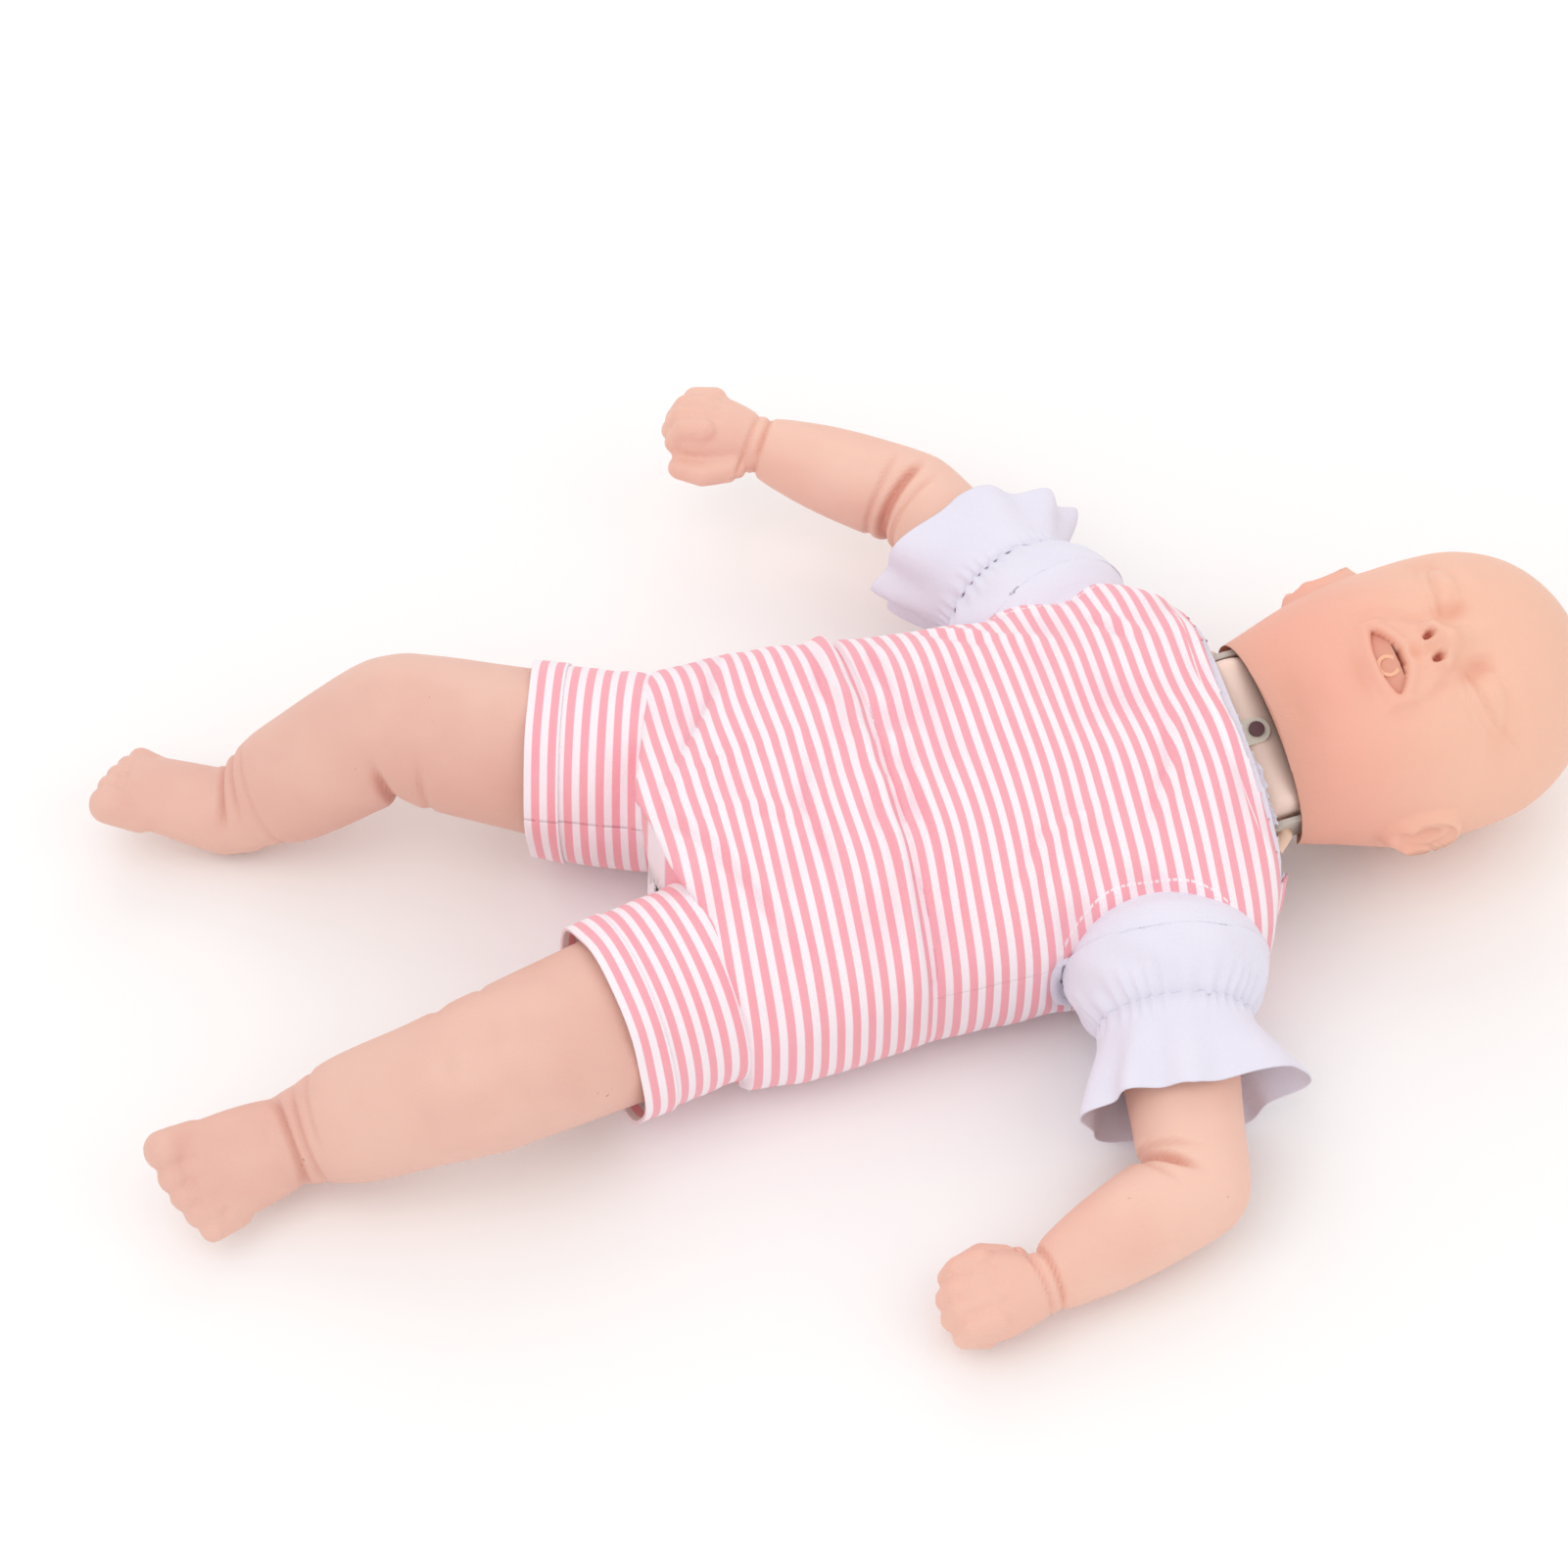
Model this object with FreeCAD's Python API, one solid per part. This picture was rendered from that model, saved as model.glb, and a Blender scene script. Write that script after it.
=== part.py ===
import FreeCAD, Part

import math
import os

# Infant manikin for practising resuscitation, lying on its back in a romper and a white shirt.
# Millimetres. +X runs from the feet to the crown, +Z is up, -Y is the manikin's left hand side.
# The origin lies on the floor, under the waist.

V = FreeCAD.Vector

# Driving sizes of the dressed torso
TORSO_HEIGHT = 104.0
HIP_HALF_WIDTH = 102.0
WAIST_HALF_WIDTH = 96.0
CHEST_HALF_WIDTH = 92.0
SHOULDER_HALF_WIDTH = 104.0
NECKLINE_HALF_WIDTH = 66.0
CROTCH_X = -92.0
WAIST_X = 22.0
SHOULDER_X = 122.0
NECKLINE_X = 184.0
BIB_END_X = 172.0
SHELL_END_X = 168.0
FLAT_BACK_SHARE = 0.5
BACK_TRIM = 0.4

# Layers of the torso, from the outside in
ROMPER_CLOTH = 1.2
SHIRT_CLOTH = 1.0
LAYER_GAP = 0.3
SHELL_WALL = 2.5
LUNG_BAG_THICKNESS = 2.4

# Chest mechanism
CHEST_TRAVEL = 30.0
CHEST_SIDE_GAP = 8.0
CHEST_RIM_Z = 55.0
CHEST_SHOULDER_X = 74.0
CHEST_SHOULDER_Y = 71.0
SHELL_SPLIT_Z = 50.0
CHEST_SPLIT_Z = 58.0
POST_X = 92.0
POST_RADIUS = 6.0
POST_OVERLAP = 12.0
GUIDE_CLEARANCE = 0.4
GUIDE_WALL = 3.4
GUIDE_TOP_Z = 50.0
SPRING_RADIUS = 15.0
SPRING_WIRE_RADIUS = 1.2
SPRING_TURNS = 7
SPRING_PAD_RADIUS = 19.0
SPRING_PAD_DEPTH = 4.0
SCREW_PLACES = ((-40.0, 38.0), (-40.0, -38.0), (8.0, 42.0), (8.0, -42.0))
CLICKER_X = 50.0
CLICKER_RADIUS = 7.0
CLICKER_HEIGHT = 3.6

# Limb roots: plane, collar and flange of each soft limb
HIP = V(-62.0, 57.0, 48.0)
SHOULDER = V(SHOULDER_X, 95.0, 50.0)
ROOT_GAP = 0.5
NECK_CLEARANCE = 0.5
LEG_NECK_RADIUS = 16.0
LEG_FLANGE_RADIUS = 23.0
ARM_NECK_RADIUS = 13.0
ARM_FLANGE_RADIUS = 18.0
FLANGE_THICKNESS = 3.0
FLANGE_DEPTH = 9.0
ARM_POCKET_RADIUS = 46.0

# Direction and roll of each limb's root axis, in degrees
LEG_POSE = {"right": (164.0, -1.1, 15.0), "left": (-167.6, -1.3, -40.0)}
ARM_POSE = {"right": (110.4, -0.8, 104.8), "left": (-98.1, -12.6, -92.5)}

# Bend of each elbow, and of each wrist after it, in degrees
ARM_BEND = {"right": (38.8, 3.5), "left": (60.7, 18.1)}

# Leg moulding
THIGH_LENGTH = 115.5
SHIN_LENGTH = 84.5
FOOT_LENGTH = 56.0
THIGH_ANGLE = 11.3
KNEE_BEND = 44.6
ANKLE_BEND = 49.9
THIGH_RADIUS = 36.0
KNEE_RADIUS = 32.0
CALF_RADIUS = 27.0
ANKLE_RADIUS = 20.0
FOOT_HALF_WIDTH = 22.0
FOOT_HALF_DEPTH = 13.0

# Arm moulding
UPPER_ARM_LENGTH = 99.0
FOREARM_LENGTH = 77.0
UPPER_ARM_RADIUS = 24.5
ELBOW_RADIUS = 22.0
FOREARM_RADIUS = 19.0
WRIST_RADIUS = 13.8
FIST_LENGTH = 40.0
FIST_HALF_WIDTH = 20.0
FIST_HALF_DEPTH = 15.0

# Clothes on the limbs
ROMPER_LEG_RADIUS = 42.0
ROMPER_LEG_LENGTH = 52.0
CUFF_WIDTH = 15.0
CUFF_THICKNESS = 1.4
SLEEVE_ROOT_RADIUS = 42.0
SLEEVE_SEAM_RADIUS = 32.0
SLEEVE_LENGTH = 27.0
FLOUNCE_LENGTH = 40.0
FLOUNCE_HALF_WIDTH = 47.0
FLOUNCE_HALF_HEIGHT = 33.0
FLOUNCE_PLEATS = 9
ARMHOLE_RADIUS = 47.0
ARMHOLE_X = 112.0
ARMHOLE_Y = 131.0

# Head, in its own frame: x to the crown, y to the right ear, z to the face
HEAD_CENTRE = V(271.0, 8.0, 66.6)
HEAD_YAW = 6.8
HEAD_ROLL = 17.0
HEAD_HALF_BREADTH = 60.0
HEAD_FRONT = 58.0
HEAD_BACK = 66.0
HEAD_CROWN = 66.0
HEAD_RIM = -82.0
SKIN_WALL = 2.6
MOUTH = V(-33.0, 0.0, 50.0)
MOUTH_HALF_LENGTH = 8.6
MOUTH_HALF_WIDTH = 19.0
NOZZLE_RADIUS = 8.5
NOZZLE_BORE = 3.5
NOZZLE_HEIGHT = 15.0
EYE_SPACING = 55.0
NOSE = V(-10.0, 0.0, 56.5)
EAR = V(-31.0, 58.6, 4.0)
EAR_STRETCH = FreeCAD.Matrix()
EAR_STRETCH.scale(V(1.45, 1.0, 0.9))

# Neck, in the head's frame
HINGE_X = -87.0
HINGE_Z = 2.0
DRUM_RADIUS = 16.0
DRUM_HALF_LENGTH = 37.0
AIRWAY_RADIUS = 5.0
STEM_RADIUS = 12.0
STEM_CLEARANCE = 0.3
WELL_RADIUS = 48.0
WELL_FLOOR = -107.0
WELL_BOSS = 7.0
PIN_RADIUS = 3.0
PIN_CLEARANCE = 0.08
ARM_PLATE_INNER = 39.0
ARM_PLATE_THICKNESS = 2.6
BULKHEAD_X = -52.0
BULKHEAD_THICKNESS = 3.0

SHELL_INSET = ROMPER_CLOTH + SHIRT_CLOTH + 2 * LAYER_GAP
SHELL_INNER = SHELL_INSET + SHELL_WALL
PLATE_INSET = SHELL_INSET + LUNG_BAG_THICKNESS + LAYER_GAP

# x, half width, top and underside of the dressed torso at each station
TORSO_STATIONS = (
    (CROTCH_X, HIP_HALF_WIDTH - 12.0, TORSO_HEIGHT - 12.0, 3.0),
    (HIP.x, HIP_HALF_WIDTH - 1.0, TORSO_HEIGHT - 5.0, -BACK_TRIM),
    (-25.0, HIP_HALF_WIDTH, TORSO_HEIGHT, -BACK_TRIM),
    (WAIST_X, WAIST_HALF_WIDTH, TORSO_HEIGHT + 1.0, -BACK_TRIM),
    (65.0, CHEST_HALF_WIDTH, TORSO_HEIGHT + 1.0, -BACK_TRIM),
    (108.0, SHOULDER_HALF_WIDTH - 6.0, TORSO_HEIGHT, -BACK_TRIM),
    (148.0, SHOULDER_HALF_WIDTH, TORSO_HEIGHT - 2.0, -BACK_TRIM),
    (168.0, SHOULDER_HALF_WIDTH - 12.0, TORSO_HEIGHT - 4.0, 4.0),
    (NECKLINE_X, NECKLINE_HALF_WIDTH, TORSO_HEIGHT - 7.0, 12.0),
)


def save(node, shape):
    """Write one node."""
    shape.exportStep("parts/" + node + ".step")


def closed_curve(points):
    """A smooth closed outline through the points."""
    curve = Part.BSplineCurve()
    curve.interpolate(Points=points, PeriodicFlag=True)
    return Part.Wire([curve.toShape()])


def torso_outline(x, half_width, top, bottom, inset, side):
    """Section across the torso: a flat back under a full, rounded front."""
    width = half_width - inset - side
    flat = FLAT_BACK_SHARE * width
    low_power = 3.2
    high_power = 2.3
    drop = (1.0 - FLAT_BACK_SHARE ** low_power) ** (1.0 / low_power)
    half = (top - bottom - 2.0 * inset) / (1.0 + drop)
    middle = bottom + inset + drop * half
    start = -math.asin(drop ** (low_power / 2.0))
    points = []
    steps = 20
    for step in range(steps + 1):
        angle = start + (math.pi - 2.0 * start) * step / steps
        power = high_power if angle > 0.0 and angle < math.pi else low_power
        across = math.cos(angle)
        rise = math.sin(angle)
        y = width * math.copysign(abs(across) ** (2.0 / power), across)
        z = middle + half * math.copysign(abs(rise) ** (2.0 / power), rise)
        points.append(V(x, y, z))
    points[0] = V(x, flat, bottom + inset)
    points[-1] = V(x, -flat, bottom + inset)
    curve = Part.BSplineCurve()
    curve.interpolate(points)
    base = Part.LineSegment(points[-1], points[0])
    return Part.Wire([curve.toShape(), base.toShape()])


def torso_form(inset, side=0.0, overrun=0.0):
    """The torso's envelope as one lofted solid on a flat back, drawn in by an inset."""
    wires = []
    last = len(TORSO_STATIONS) - 1
    for index, (x, half_width, top, bottom) in enumerate(TORSO_STATIONS):
        if index == 0:
            x = x - overrun
        if index == last:
            x = x + overrun
        wires.append(torso_outline(x, half_width, top, bottom, inset, side))
    return Part.makeLoft(wires, True).cut(block(-200, 300, -150, 150, -30, inset))


def block(x0, x1, y0, y1, z0, z1):
    """A box between two corners."""
    return Part.makeBox(x1 - x0, y1 - y0, z1 - z0, V(x0, y0, z0))


def mirrored_y(point):
    """The same point on the manikin's other side."""
    return V(point.x, -point.y, point.z)


def limb_placement(root, pose):
    """Frame of a limb: local x along the root axis, local z to the limb's front."""
    azimuth, elevation, roll = [math.radians(angle) for angle in pose]
    along = V(math.cos(elevation) * math.cos(azimuth), math.cos(elevation) * math.sin(azimuth),
              math.sin(elevation))
    up = V(0, 0, 1) - along * along.z
    up.normalize()
    turn = FreeCAD.Rotation(along, math.degrees(roll))
    front = turn.multVec(up)
    across = front.cross(along)
    rotation = FreeCAD.Rotation(along, across, front, "XYZ")
    return FreeCAD.Placement(root, rotation)


def side_root(point, side):
    """A root point on the named side."""
    return point if side == "right" else mirrored_y(point)


HEAD_PLACEMENT = FreeCAD.Placement(
    HEAD_CENTRE,
    FreeCAD.Rotation(V(0, 0, 1), HEAD_YAW).multiply(FreeCAD.Rotation(V(1, 0, 0), HEAD_ROLL)))
HIP_FRAME = {side: limb_placement(side_root(HIP, side), LEG_POSE[side]) for side in LEG_POSE}
ARM_FRAME = {side: limb_placement(side_root(SHOULDER, side), ARM_POSE[side]) for side in ARM_POSE}


def placed(shape, placement):
    """A copy of a shape carried into the common frame."""
    copy = shape.copy()
    copy.Placement = placement.multiply(copy.Placement)
    return copy


def beyond_plane(placement, offset, radius):
    """Everything outside a limb's root plane, within a radius of its axis."""
    return placed(Part.makeCylinder(radius, 300.0, V(offset, 0, 0), V(1, 0, 0)), placement)


def beyond_hips(shape, offset):
    """Trim a torso piece at both hip planes."""
    for side in HIP_FRAME:
        shape = shape.cut(beyond_plane(HIP_FRAME[side], offset, 150.0))
    return shape


def beyond_shoulders(shape, offset):
    """Trim a torso piece with the flat round pocket behind each arm."""
    for side in ARM_FRAME:
        shape = shape.cut(beyond_plane(ARM_FRAME[side], offset, ARM_POCKET_RADIUS))
    return shape


def neck_well(radius, floor):
    """The round recess that the neck turns in."""
    return placed(Part.makeCylinder(radius, 120.0, V(floor, 0, HINGE_Z), V(1, 0, 0)), HEAD_PLACEMENT)


def layer(outer_inset, inner_inset):
    """A cloth layer all round the torso, open at its ends."""
    cloth = torso_form(outer_inset).cut(torso_form(inner_inset, overrun=2.0))
    cloth = beyond_hips(cloth, -ROOT_GAP)
    return beyond_shoulders(cloth, -ROOT_GAP)


def limb_holes(shape):
    """Round holes that the limbs' necks turn in."""
    for side in HIP_FRAME:
        hole = Part.makeCylinder(LEG_NECK_RADIUS + NECK_CLEARANCE, 30.0, V(-20.0, 0, 0), V(1, 0, 0))
        shape = shape.cut(placed(hole, HIP_FRAME[side]))
        hole = Part.makeCylinder(ARM_NECK_RADIUS + NECK_CLEARANCE, 30.0, V(-20.0, 0, 0), V(1, 0, 0))
        shape = shape.cut(placed(hole, ARM_FRAME[side]))
    return shape


def make_shells():
    """Back and belly shells: one hollow torso, split along the flanks, with sockets for the limbs."""
    outer = torso_form(SHELL_INSET)
    outer = beyond_shoulders(beyond_hips(outer, -ROOT_GAP), -ROOT_GAP)
    outer = outer.cut(neck_well(WELL_RADIUS, WELL_FLOOR))
    outer = outer.cut(block(SHELL_END_X, 300, -150, 150, -10, 150))
    core = torso_form(SHELL_INNER)
    core = beyond_shoulders(beyond_hips(core, -ROOT_GAP - SHELL_WALL), -ROOT_GAP - SHELL_WALL)
    core = core.cut(neck_well(WELL_RADIUS + SHELL_WALL, WELL_FLOOR - SHELL_WALL))
    core = core.cut(block(SHELL_END_X - SHELL_WALL, 300, -150, 150, -10, 150))
    shell = limb_holes(outer.cut(core))
    ear = ARM_POCKET_RADIUS - 14.0
    chest_end = POST_X + 60.0
    lower = block(-150, WAIST_X, -150, 150, -10, SHELL_SPLIT_Z)
    lower = lower.fuse(block(WAIST_X, 250, -150, 150, -10, CHEST_SPLIT_Z))
    lower = lower.fuse(block(SHOULDER_X - ear, SHOULDER_X + ear, -150, -75, -10, 84))
    lower = lower.fuse(block(SHOULDER_X - ear, SHOULDER_X + ear, 75, 150, -10, 84))
    lower = lower.fuse(block(chest_end, 250, -150, 150, -10, 150))
    back = shell.common(lower)
    floor_z = SHELL_INNER
    guide_radius = POST_RADIUS + GUIDE_CLEARANCE + GUIDE_WALL
    guide = Part.makeCylinder(guide_radius, GUIDE_TOP_Z - floor_z + 1.0, V(POST_X, 0, floor_z - 1.0))
    back = back.fuse(guide)
    bore = Part.makeCylinder(POST_RADIUS + GUIDE_CLEARANCE, GUIDE_TOP_Z, V(POST_X, 0, floor_z))
    back = back.cut(bore)
    pillar_top = TORSO_HEIGHT - PLATE_INSET - SHELL_WALL - CHEST_TRAVEL - CLICKER_HEIGHT - 0.6
    pillar = Part.makeCylinder(CLICKER_RADIUS, pillar_top - floor_z + 1.0, V(CLICKER_X, 0, floor_z - 1.0))
    back = back.fuse(pillar)
    boss = Part.makeCylinder(STEM_RADIUS + 8.0, WELL_BOSS, V(WELL_FLOOR - WELL_BOSS, 0, HINGE_Z), V(1, 0, 0))
    hole = Part.makeCylinder(STEM_RADIUS + STEM_CLEARANCE, 40.0, V(WELL_FLOOR - 20.0, 0, HINGE_Z), V(1, 0, 0))
    back = back.fuse(placed(boss, HEAD_PLACEMENT)).cut(placed(hole, HEAD_PLACEMENT))
    belly = shell.common(block(-150, WAIST_X, -150, 150, SHELL_SPLIT_Z, 150))
    for x, y in SCREW_PLACES:
        post = Part.makeCylinder(5.0, SHELL_SPLIT_Z - floor_z + 1.0, V(x, y, floor_z - 1.0))
        cap = Part.makeCylinder(5.0, TORSO_HEIGHT - SHELL_SPLIT_Z, V(x, y, SHELL_SPLIT_Z))
        cap = cap.common(torso_form(SHELL_INSET + 1.0))
        back = back.fuse(post)
        belly = belly.fuse(cap)
        back = back.cut(Part.makeCylinder(1.8, 80.0, V(x, y, 0)))
        back = back.cut(Part.makeCylinder(3.4, SHELL_INSET + 3.0, V(x, y, 0)))
        belly = belly.cut(Part.makeCylinder(1.8, 14.0, V(x, y, SHELL_SPLIT_Z)))
    save("back_shell", back)
    save("belly_shell", belly)
    screws = []
    for x, y in SCREW_PLACES:
        head = Part.makeCylinder(3.2, 2.4, V(x, y, SHELL_INSET + 0.6))
        shank = Part.makeCylinder(1.7, SHELL_SPLIT_Z + 8.0 - SHELL_INSET, V(x, y, SHELL_INSET + 1.0))
        screws.append(head.fuse(shank))
    save("shell_screws", Part.makeCompound(screws))
    dome = Part.makeSphere(CLICKER_RADIUS * 1.6, V(CLICKER_X, 0, pillar_top + CLICKER_HEIGHT - CLICKER_RADIUS * 1.6))
    dome = dome.common(Part.makeCylinder(CLICKER_RADIUS, CLICKER_HEIGHT, V(CLICKER_X, 0, pillar_top)))
    save("click_dome", dome)


def make_chest():
    """Ribbed chest plate with its guide post, the return spring and the lung bag on top."""
    ceiling = TORSO_HEIGHT - PLATE_INSET - SHELL_WALL
    plate = torso_form(PLATE_INSET, CHEST_SIDE_GAP).cut(
        torso_form(PLATE_INSET + SHELL_WALL, CHEST_SIDE_GAP, 2.0))
    rear = block(WAIST_X + 2.0, CHEST_SHOULDER_X, -150, 150, CHEST_RIM_Z, 150)
    front = block(CHEST_SHOULDER_X, POST_X + 58.0, -CHEST_SHOULDER_Y, CHEST_SHOULDER_Y, CHEST_RIM_Z, 150)
    plate = plate.common(rear.fuse(front))
    rib_pitch = 17.0
    for index in range(-3, 4):
        x = POST_X + index * rib_pitch
        for sign in (-1, 1):
            near = SPRING_PAD_RADIUS + 5.0
            far = near + 36.0
            slot = block(x - 3.0, x + 3.0, min(sign * near, sign * far), max(sign * near, sign * far), 60, 150)
            plate = plate.cut(slot)
    pad = Part.makeCylinder(SPRING_PAD_RADIUS, SPRING_PAD_DEPTH + 1.5, V(POST_X, 0, ceiling - SPRING_PAD_DEPTH))
    post_end = GUIDE_TOP_Z - POST_OVERLAP
    post = Part.makeCylinder(POST_RADIUS, ceiling - post_end, V(POST_X, 0, post_end))
    save("chest_plate", plate.fuse(pad).fuse(post))
    bag = torso_form(SHELL_INSET, CHEST_SIDE_GAP).cut(
        torso_form(SHELL_INSET + LUNG_BAG_THICKNESS, CHEST_SIDE_GAP, 2.0))
    save("lung_bag", bag.common(block(WAIST_X + 12.0, POST_X + 54.0, -52, 52, 60, 150)))
    bottom = SHELL_INNER + SPRING_WIRE_RADIUS + 0.05
    height = ceiling - SPRING_PAD_DEPTH - SPRING_WIRE_RADIUS - 0.05 - bottom
    helix = Part.makeHelix(height / SPRING_TURNS, height, SPRING_RADIUS)
    circle = Part.Wire([Part.makeCircle(SPRING_WIRE_RADIUS, V(SPRING_RADIUS, 0, 0), V(0, 1, 0))])
    coil = Part.Wire(helix.Edges).makePipeShell([circle], True, True)
    coil.translate(V(POST_X, 0, bottom))
    save("compression_spring", coil)


def make_torso_clothes():
    """Shirt and romper around the torso, each with a back and a front panel sewn at the flank."""
    flank = CHEST_SPLIT_Z - 2.0
    above = block(WAIST_X + 0.4, BIB_END_X, -150, 150, flank + 0.2, 150)
    romper = layer(0.0, ROMPER_CLOTH)
    shirt = layer(ROMPER_CLOTH + LAYER_GAP, ROMPER_CLOTH + LAYER_GAP + SHIRT_CLOTH)
    armholes = []
    for sign in (-1, 1):
        armholes.append(Part.makeCylinder(ARMHOLE_RADIUS, 200.0, V(ARMHOLE_X, sign * ARMHOLE_Y, -20.0)))
    bib = romper.common(above)
    seat = romper.cut(block(WAIST_X, 300, -150, 150, flank, 150)).cut(neck_well(WELL_RADIUS + 7.0, WELL_FLOOR))
    for armhole in armholes:
        bib = bib.cut(armhole)
        seat = seat.cut(armhole)
    save("romper_seat", seat)
    save("romper_bib", bib)
    tails = block(WAIST_X + 4.0, NECKLINE_X - 3.0, -150, 150, -10, 150)
    shirt = shirt.common(tails)
    save("shirt_front", shirt.common(above))
    save("shirt_back", shirt.cut(block(0, 300, -150, 150, flank, 150)).cut(
        neck_well(WELL_RADIUS + 7.0, WELL_FLOOR)))
    ring = []
    for half_y, half_z in ((45.5, 24.0), (43.0, 21.5)):
        wires = []
        past = 1.0 if half_y < 45.0 else 0.0
        for x, grow in ((-105.0 - past, 0.0), (-101.0, 1.0), (-97.0 + past, 0.0)):
            outline = []
            for step in range(48):
                angle = 2.0 * math.pi * step / 48
                ripple = 0.7 * math.cos(12 * angle)
                outline.append(V(x - HINGE_X, (half_y + grow + ripple) * math.cos(angle),
                                 (half_z + grow + ripple) * math.sin(angle)))
            wires.append(closed_curve(outline))
        ring.append(Part.makeLoft(wires, True))
    centre = HEAD_PLACEMENT.multVec(V(HINGE_X, 0, HINGE_Z))
    collar_frame = FreeCAD.Placement(centre, FreeCAD.Rotation(V(0, 0, 1), HEAD_YAW))
    collar = placed(ring[0].cut(ring[1]), collar_frame)
    reach = DRUM_HALF_LENGTH + 1.0
    drum_room = Part.makeCylinder(DRUM_RADIUS + 0.6, 2 * reach, V(HINGE_X, -reach, HINGE_Z), V(0, 1, 0))
    save("shirt_collar", collar.cut(placed(drum_room, HEAD_PLACEMENT)))


def oval(x, z, angle, half_width, half_depth):
    """Cross-section of a limb, square to its centre line."""
    lean = math.radians(angle)
    points = []
    for step in range(16):
        turn = 2.0 * math.pi * step / 16
        depth = half_depth * math.sin(turn)
        points.append(V(x - depth * math.sin(lean), half_width * math.cos(turn), z + depth * math.cos(lean)))
    return closed_curve(points)


def walk(x, z, angle, distance):
    """The point reached from x, z along an angle."""
    lean = math.radians(angle)
    return x + distance * math.cos(lean), z + distance * math.sin(lean)


def flange(neck_radius, flange_radius):
    """The neck and snap flange at a soft limb's root."""
    neck = Part.makeCylinder(neck_radius, FLANGE_DEPTH + 1.0, V(-FLANGE_DEPTH, 0, 0), V(1, 0, 0))
    rim = Part.makeCylinder(flange_radius, FLANGE_THICKNESS, V(-FLANGE_DEPTH - FLANGE_THICKNESS, 0, 0), V(1, 0, 0))
    return neck.fuse(rim)


def leg_moulding():
    """Soft leg with a bent knee and a flexed foot, toes fused side by side."""
    knee = walk(0, 0, THIGH_ANGLE, THIGH_LENGTH)
    shin_angle = THIGH_ANGLE - KNEE_BEND
    ankle = walk(knee[0], knee[1], shin_angle, SHIN_LENGTH)
    foot_angle = shin_angle + ANKLE_BEND
    wires = [oval(0, 0, 0, THIGH_RADIUS, THIGH_RADIUS)]
    for share, radius in ((0.3, THIGH_RADIUS), (0.6, THIGH_RADIUS - 2.0), (0.85, KNEE_RADIUS + 1.0)):
        x, z = walk(0, 0, THIGH_ANGLE, THIGH_LENGTH * share)
        wires.append(oval(x, z, THIGH_ANGLE * (1.2 - share), radius, radius))
    wires.append(oval(knee[0], knee[1] - 1.5, THIGH_ANGLE - KNEE_BEND / 2.0, KNEE_RADIUS, KNEE_RADIUS - 1.0))
    for share, radius in ((0.25, CALF_RADIUS + 2.0), (0.55, CALF_RADIUS), (0.85, ANKLE_RADIUS + 3.0)):
        x, z = walk(knee[0], knee[1], shin_angle, SHIN_LENGTH * share)
        wires.append(oval(x, z, shin_angle, radius, radius))
    wires.append(oval(ankle[0], ankle[1], shin_angle + 6.0, ANKLE_RADIUS, ANKLE_RADIUS))
    leg = Part.makeLoft(wires, True)
    heel = Part.makeSphere(ANKLE_RADIUS - 1.0, V(ankle[0] + 1.0, 0, ankle[1] - 2.0))
    leg = leg.fuse(heel)
    foot = []
    for distance, half_width, half_depth in ((-6.0, ANKLE_RADIUS - 5.0, ANKLE_RADIUS - 6.0),
                                             (12.0, FOOT_HALF_WIDTH - 1.0, FOOT_HALF_DEPTH + 4.0),
                                             (32.0, FOOT_HALF_WIDTH, FOOT_HALF_DEPTH),
                                             (FOOT_LENGTH - 9.0, FOOT_HALF_WIDTH + 0.5, FOOT_HALF_DEPTH - 4.0)):
        x, z = walk(ankle[0], ankle[1] - 3.0, foot_angle, distance)
        foot.append(oval(x, z, foot_angle, half_width, half_depth))
    leg = leg.fuse(Part.makeLoft(foot, True))
    across = FOOT_HALF_WIDTH - 5.0
    for radius, reach in ((9.0, 0.0), (7.2, 0.5), (6.8, -1.5), (6.3, -4.0), (6.0, -7.5)):
        x, z = walk(ankle[0], ankle[1] - 4.0, foot_angle, FOOT_LENGTH - 12.0 + reach)
        tip = walk(x, z, foot_angle, 10.0)
        toe = Part.makeCylinder(radius, 10.0, V(x, across, z), V(tip[0] - x, 0, tip[1] - z))
        toe = toe.fuse(Part.makeSphere(radius, V(tip[0], across, tip[1])))
        leg = leg.fuse(toe)
        across = across - radius * 1.42
    return leg.fuse(flange(LEG_NECK_RADIUS, LEG_FLANGE_RADIUS))


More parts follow.
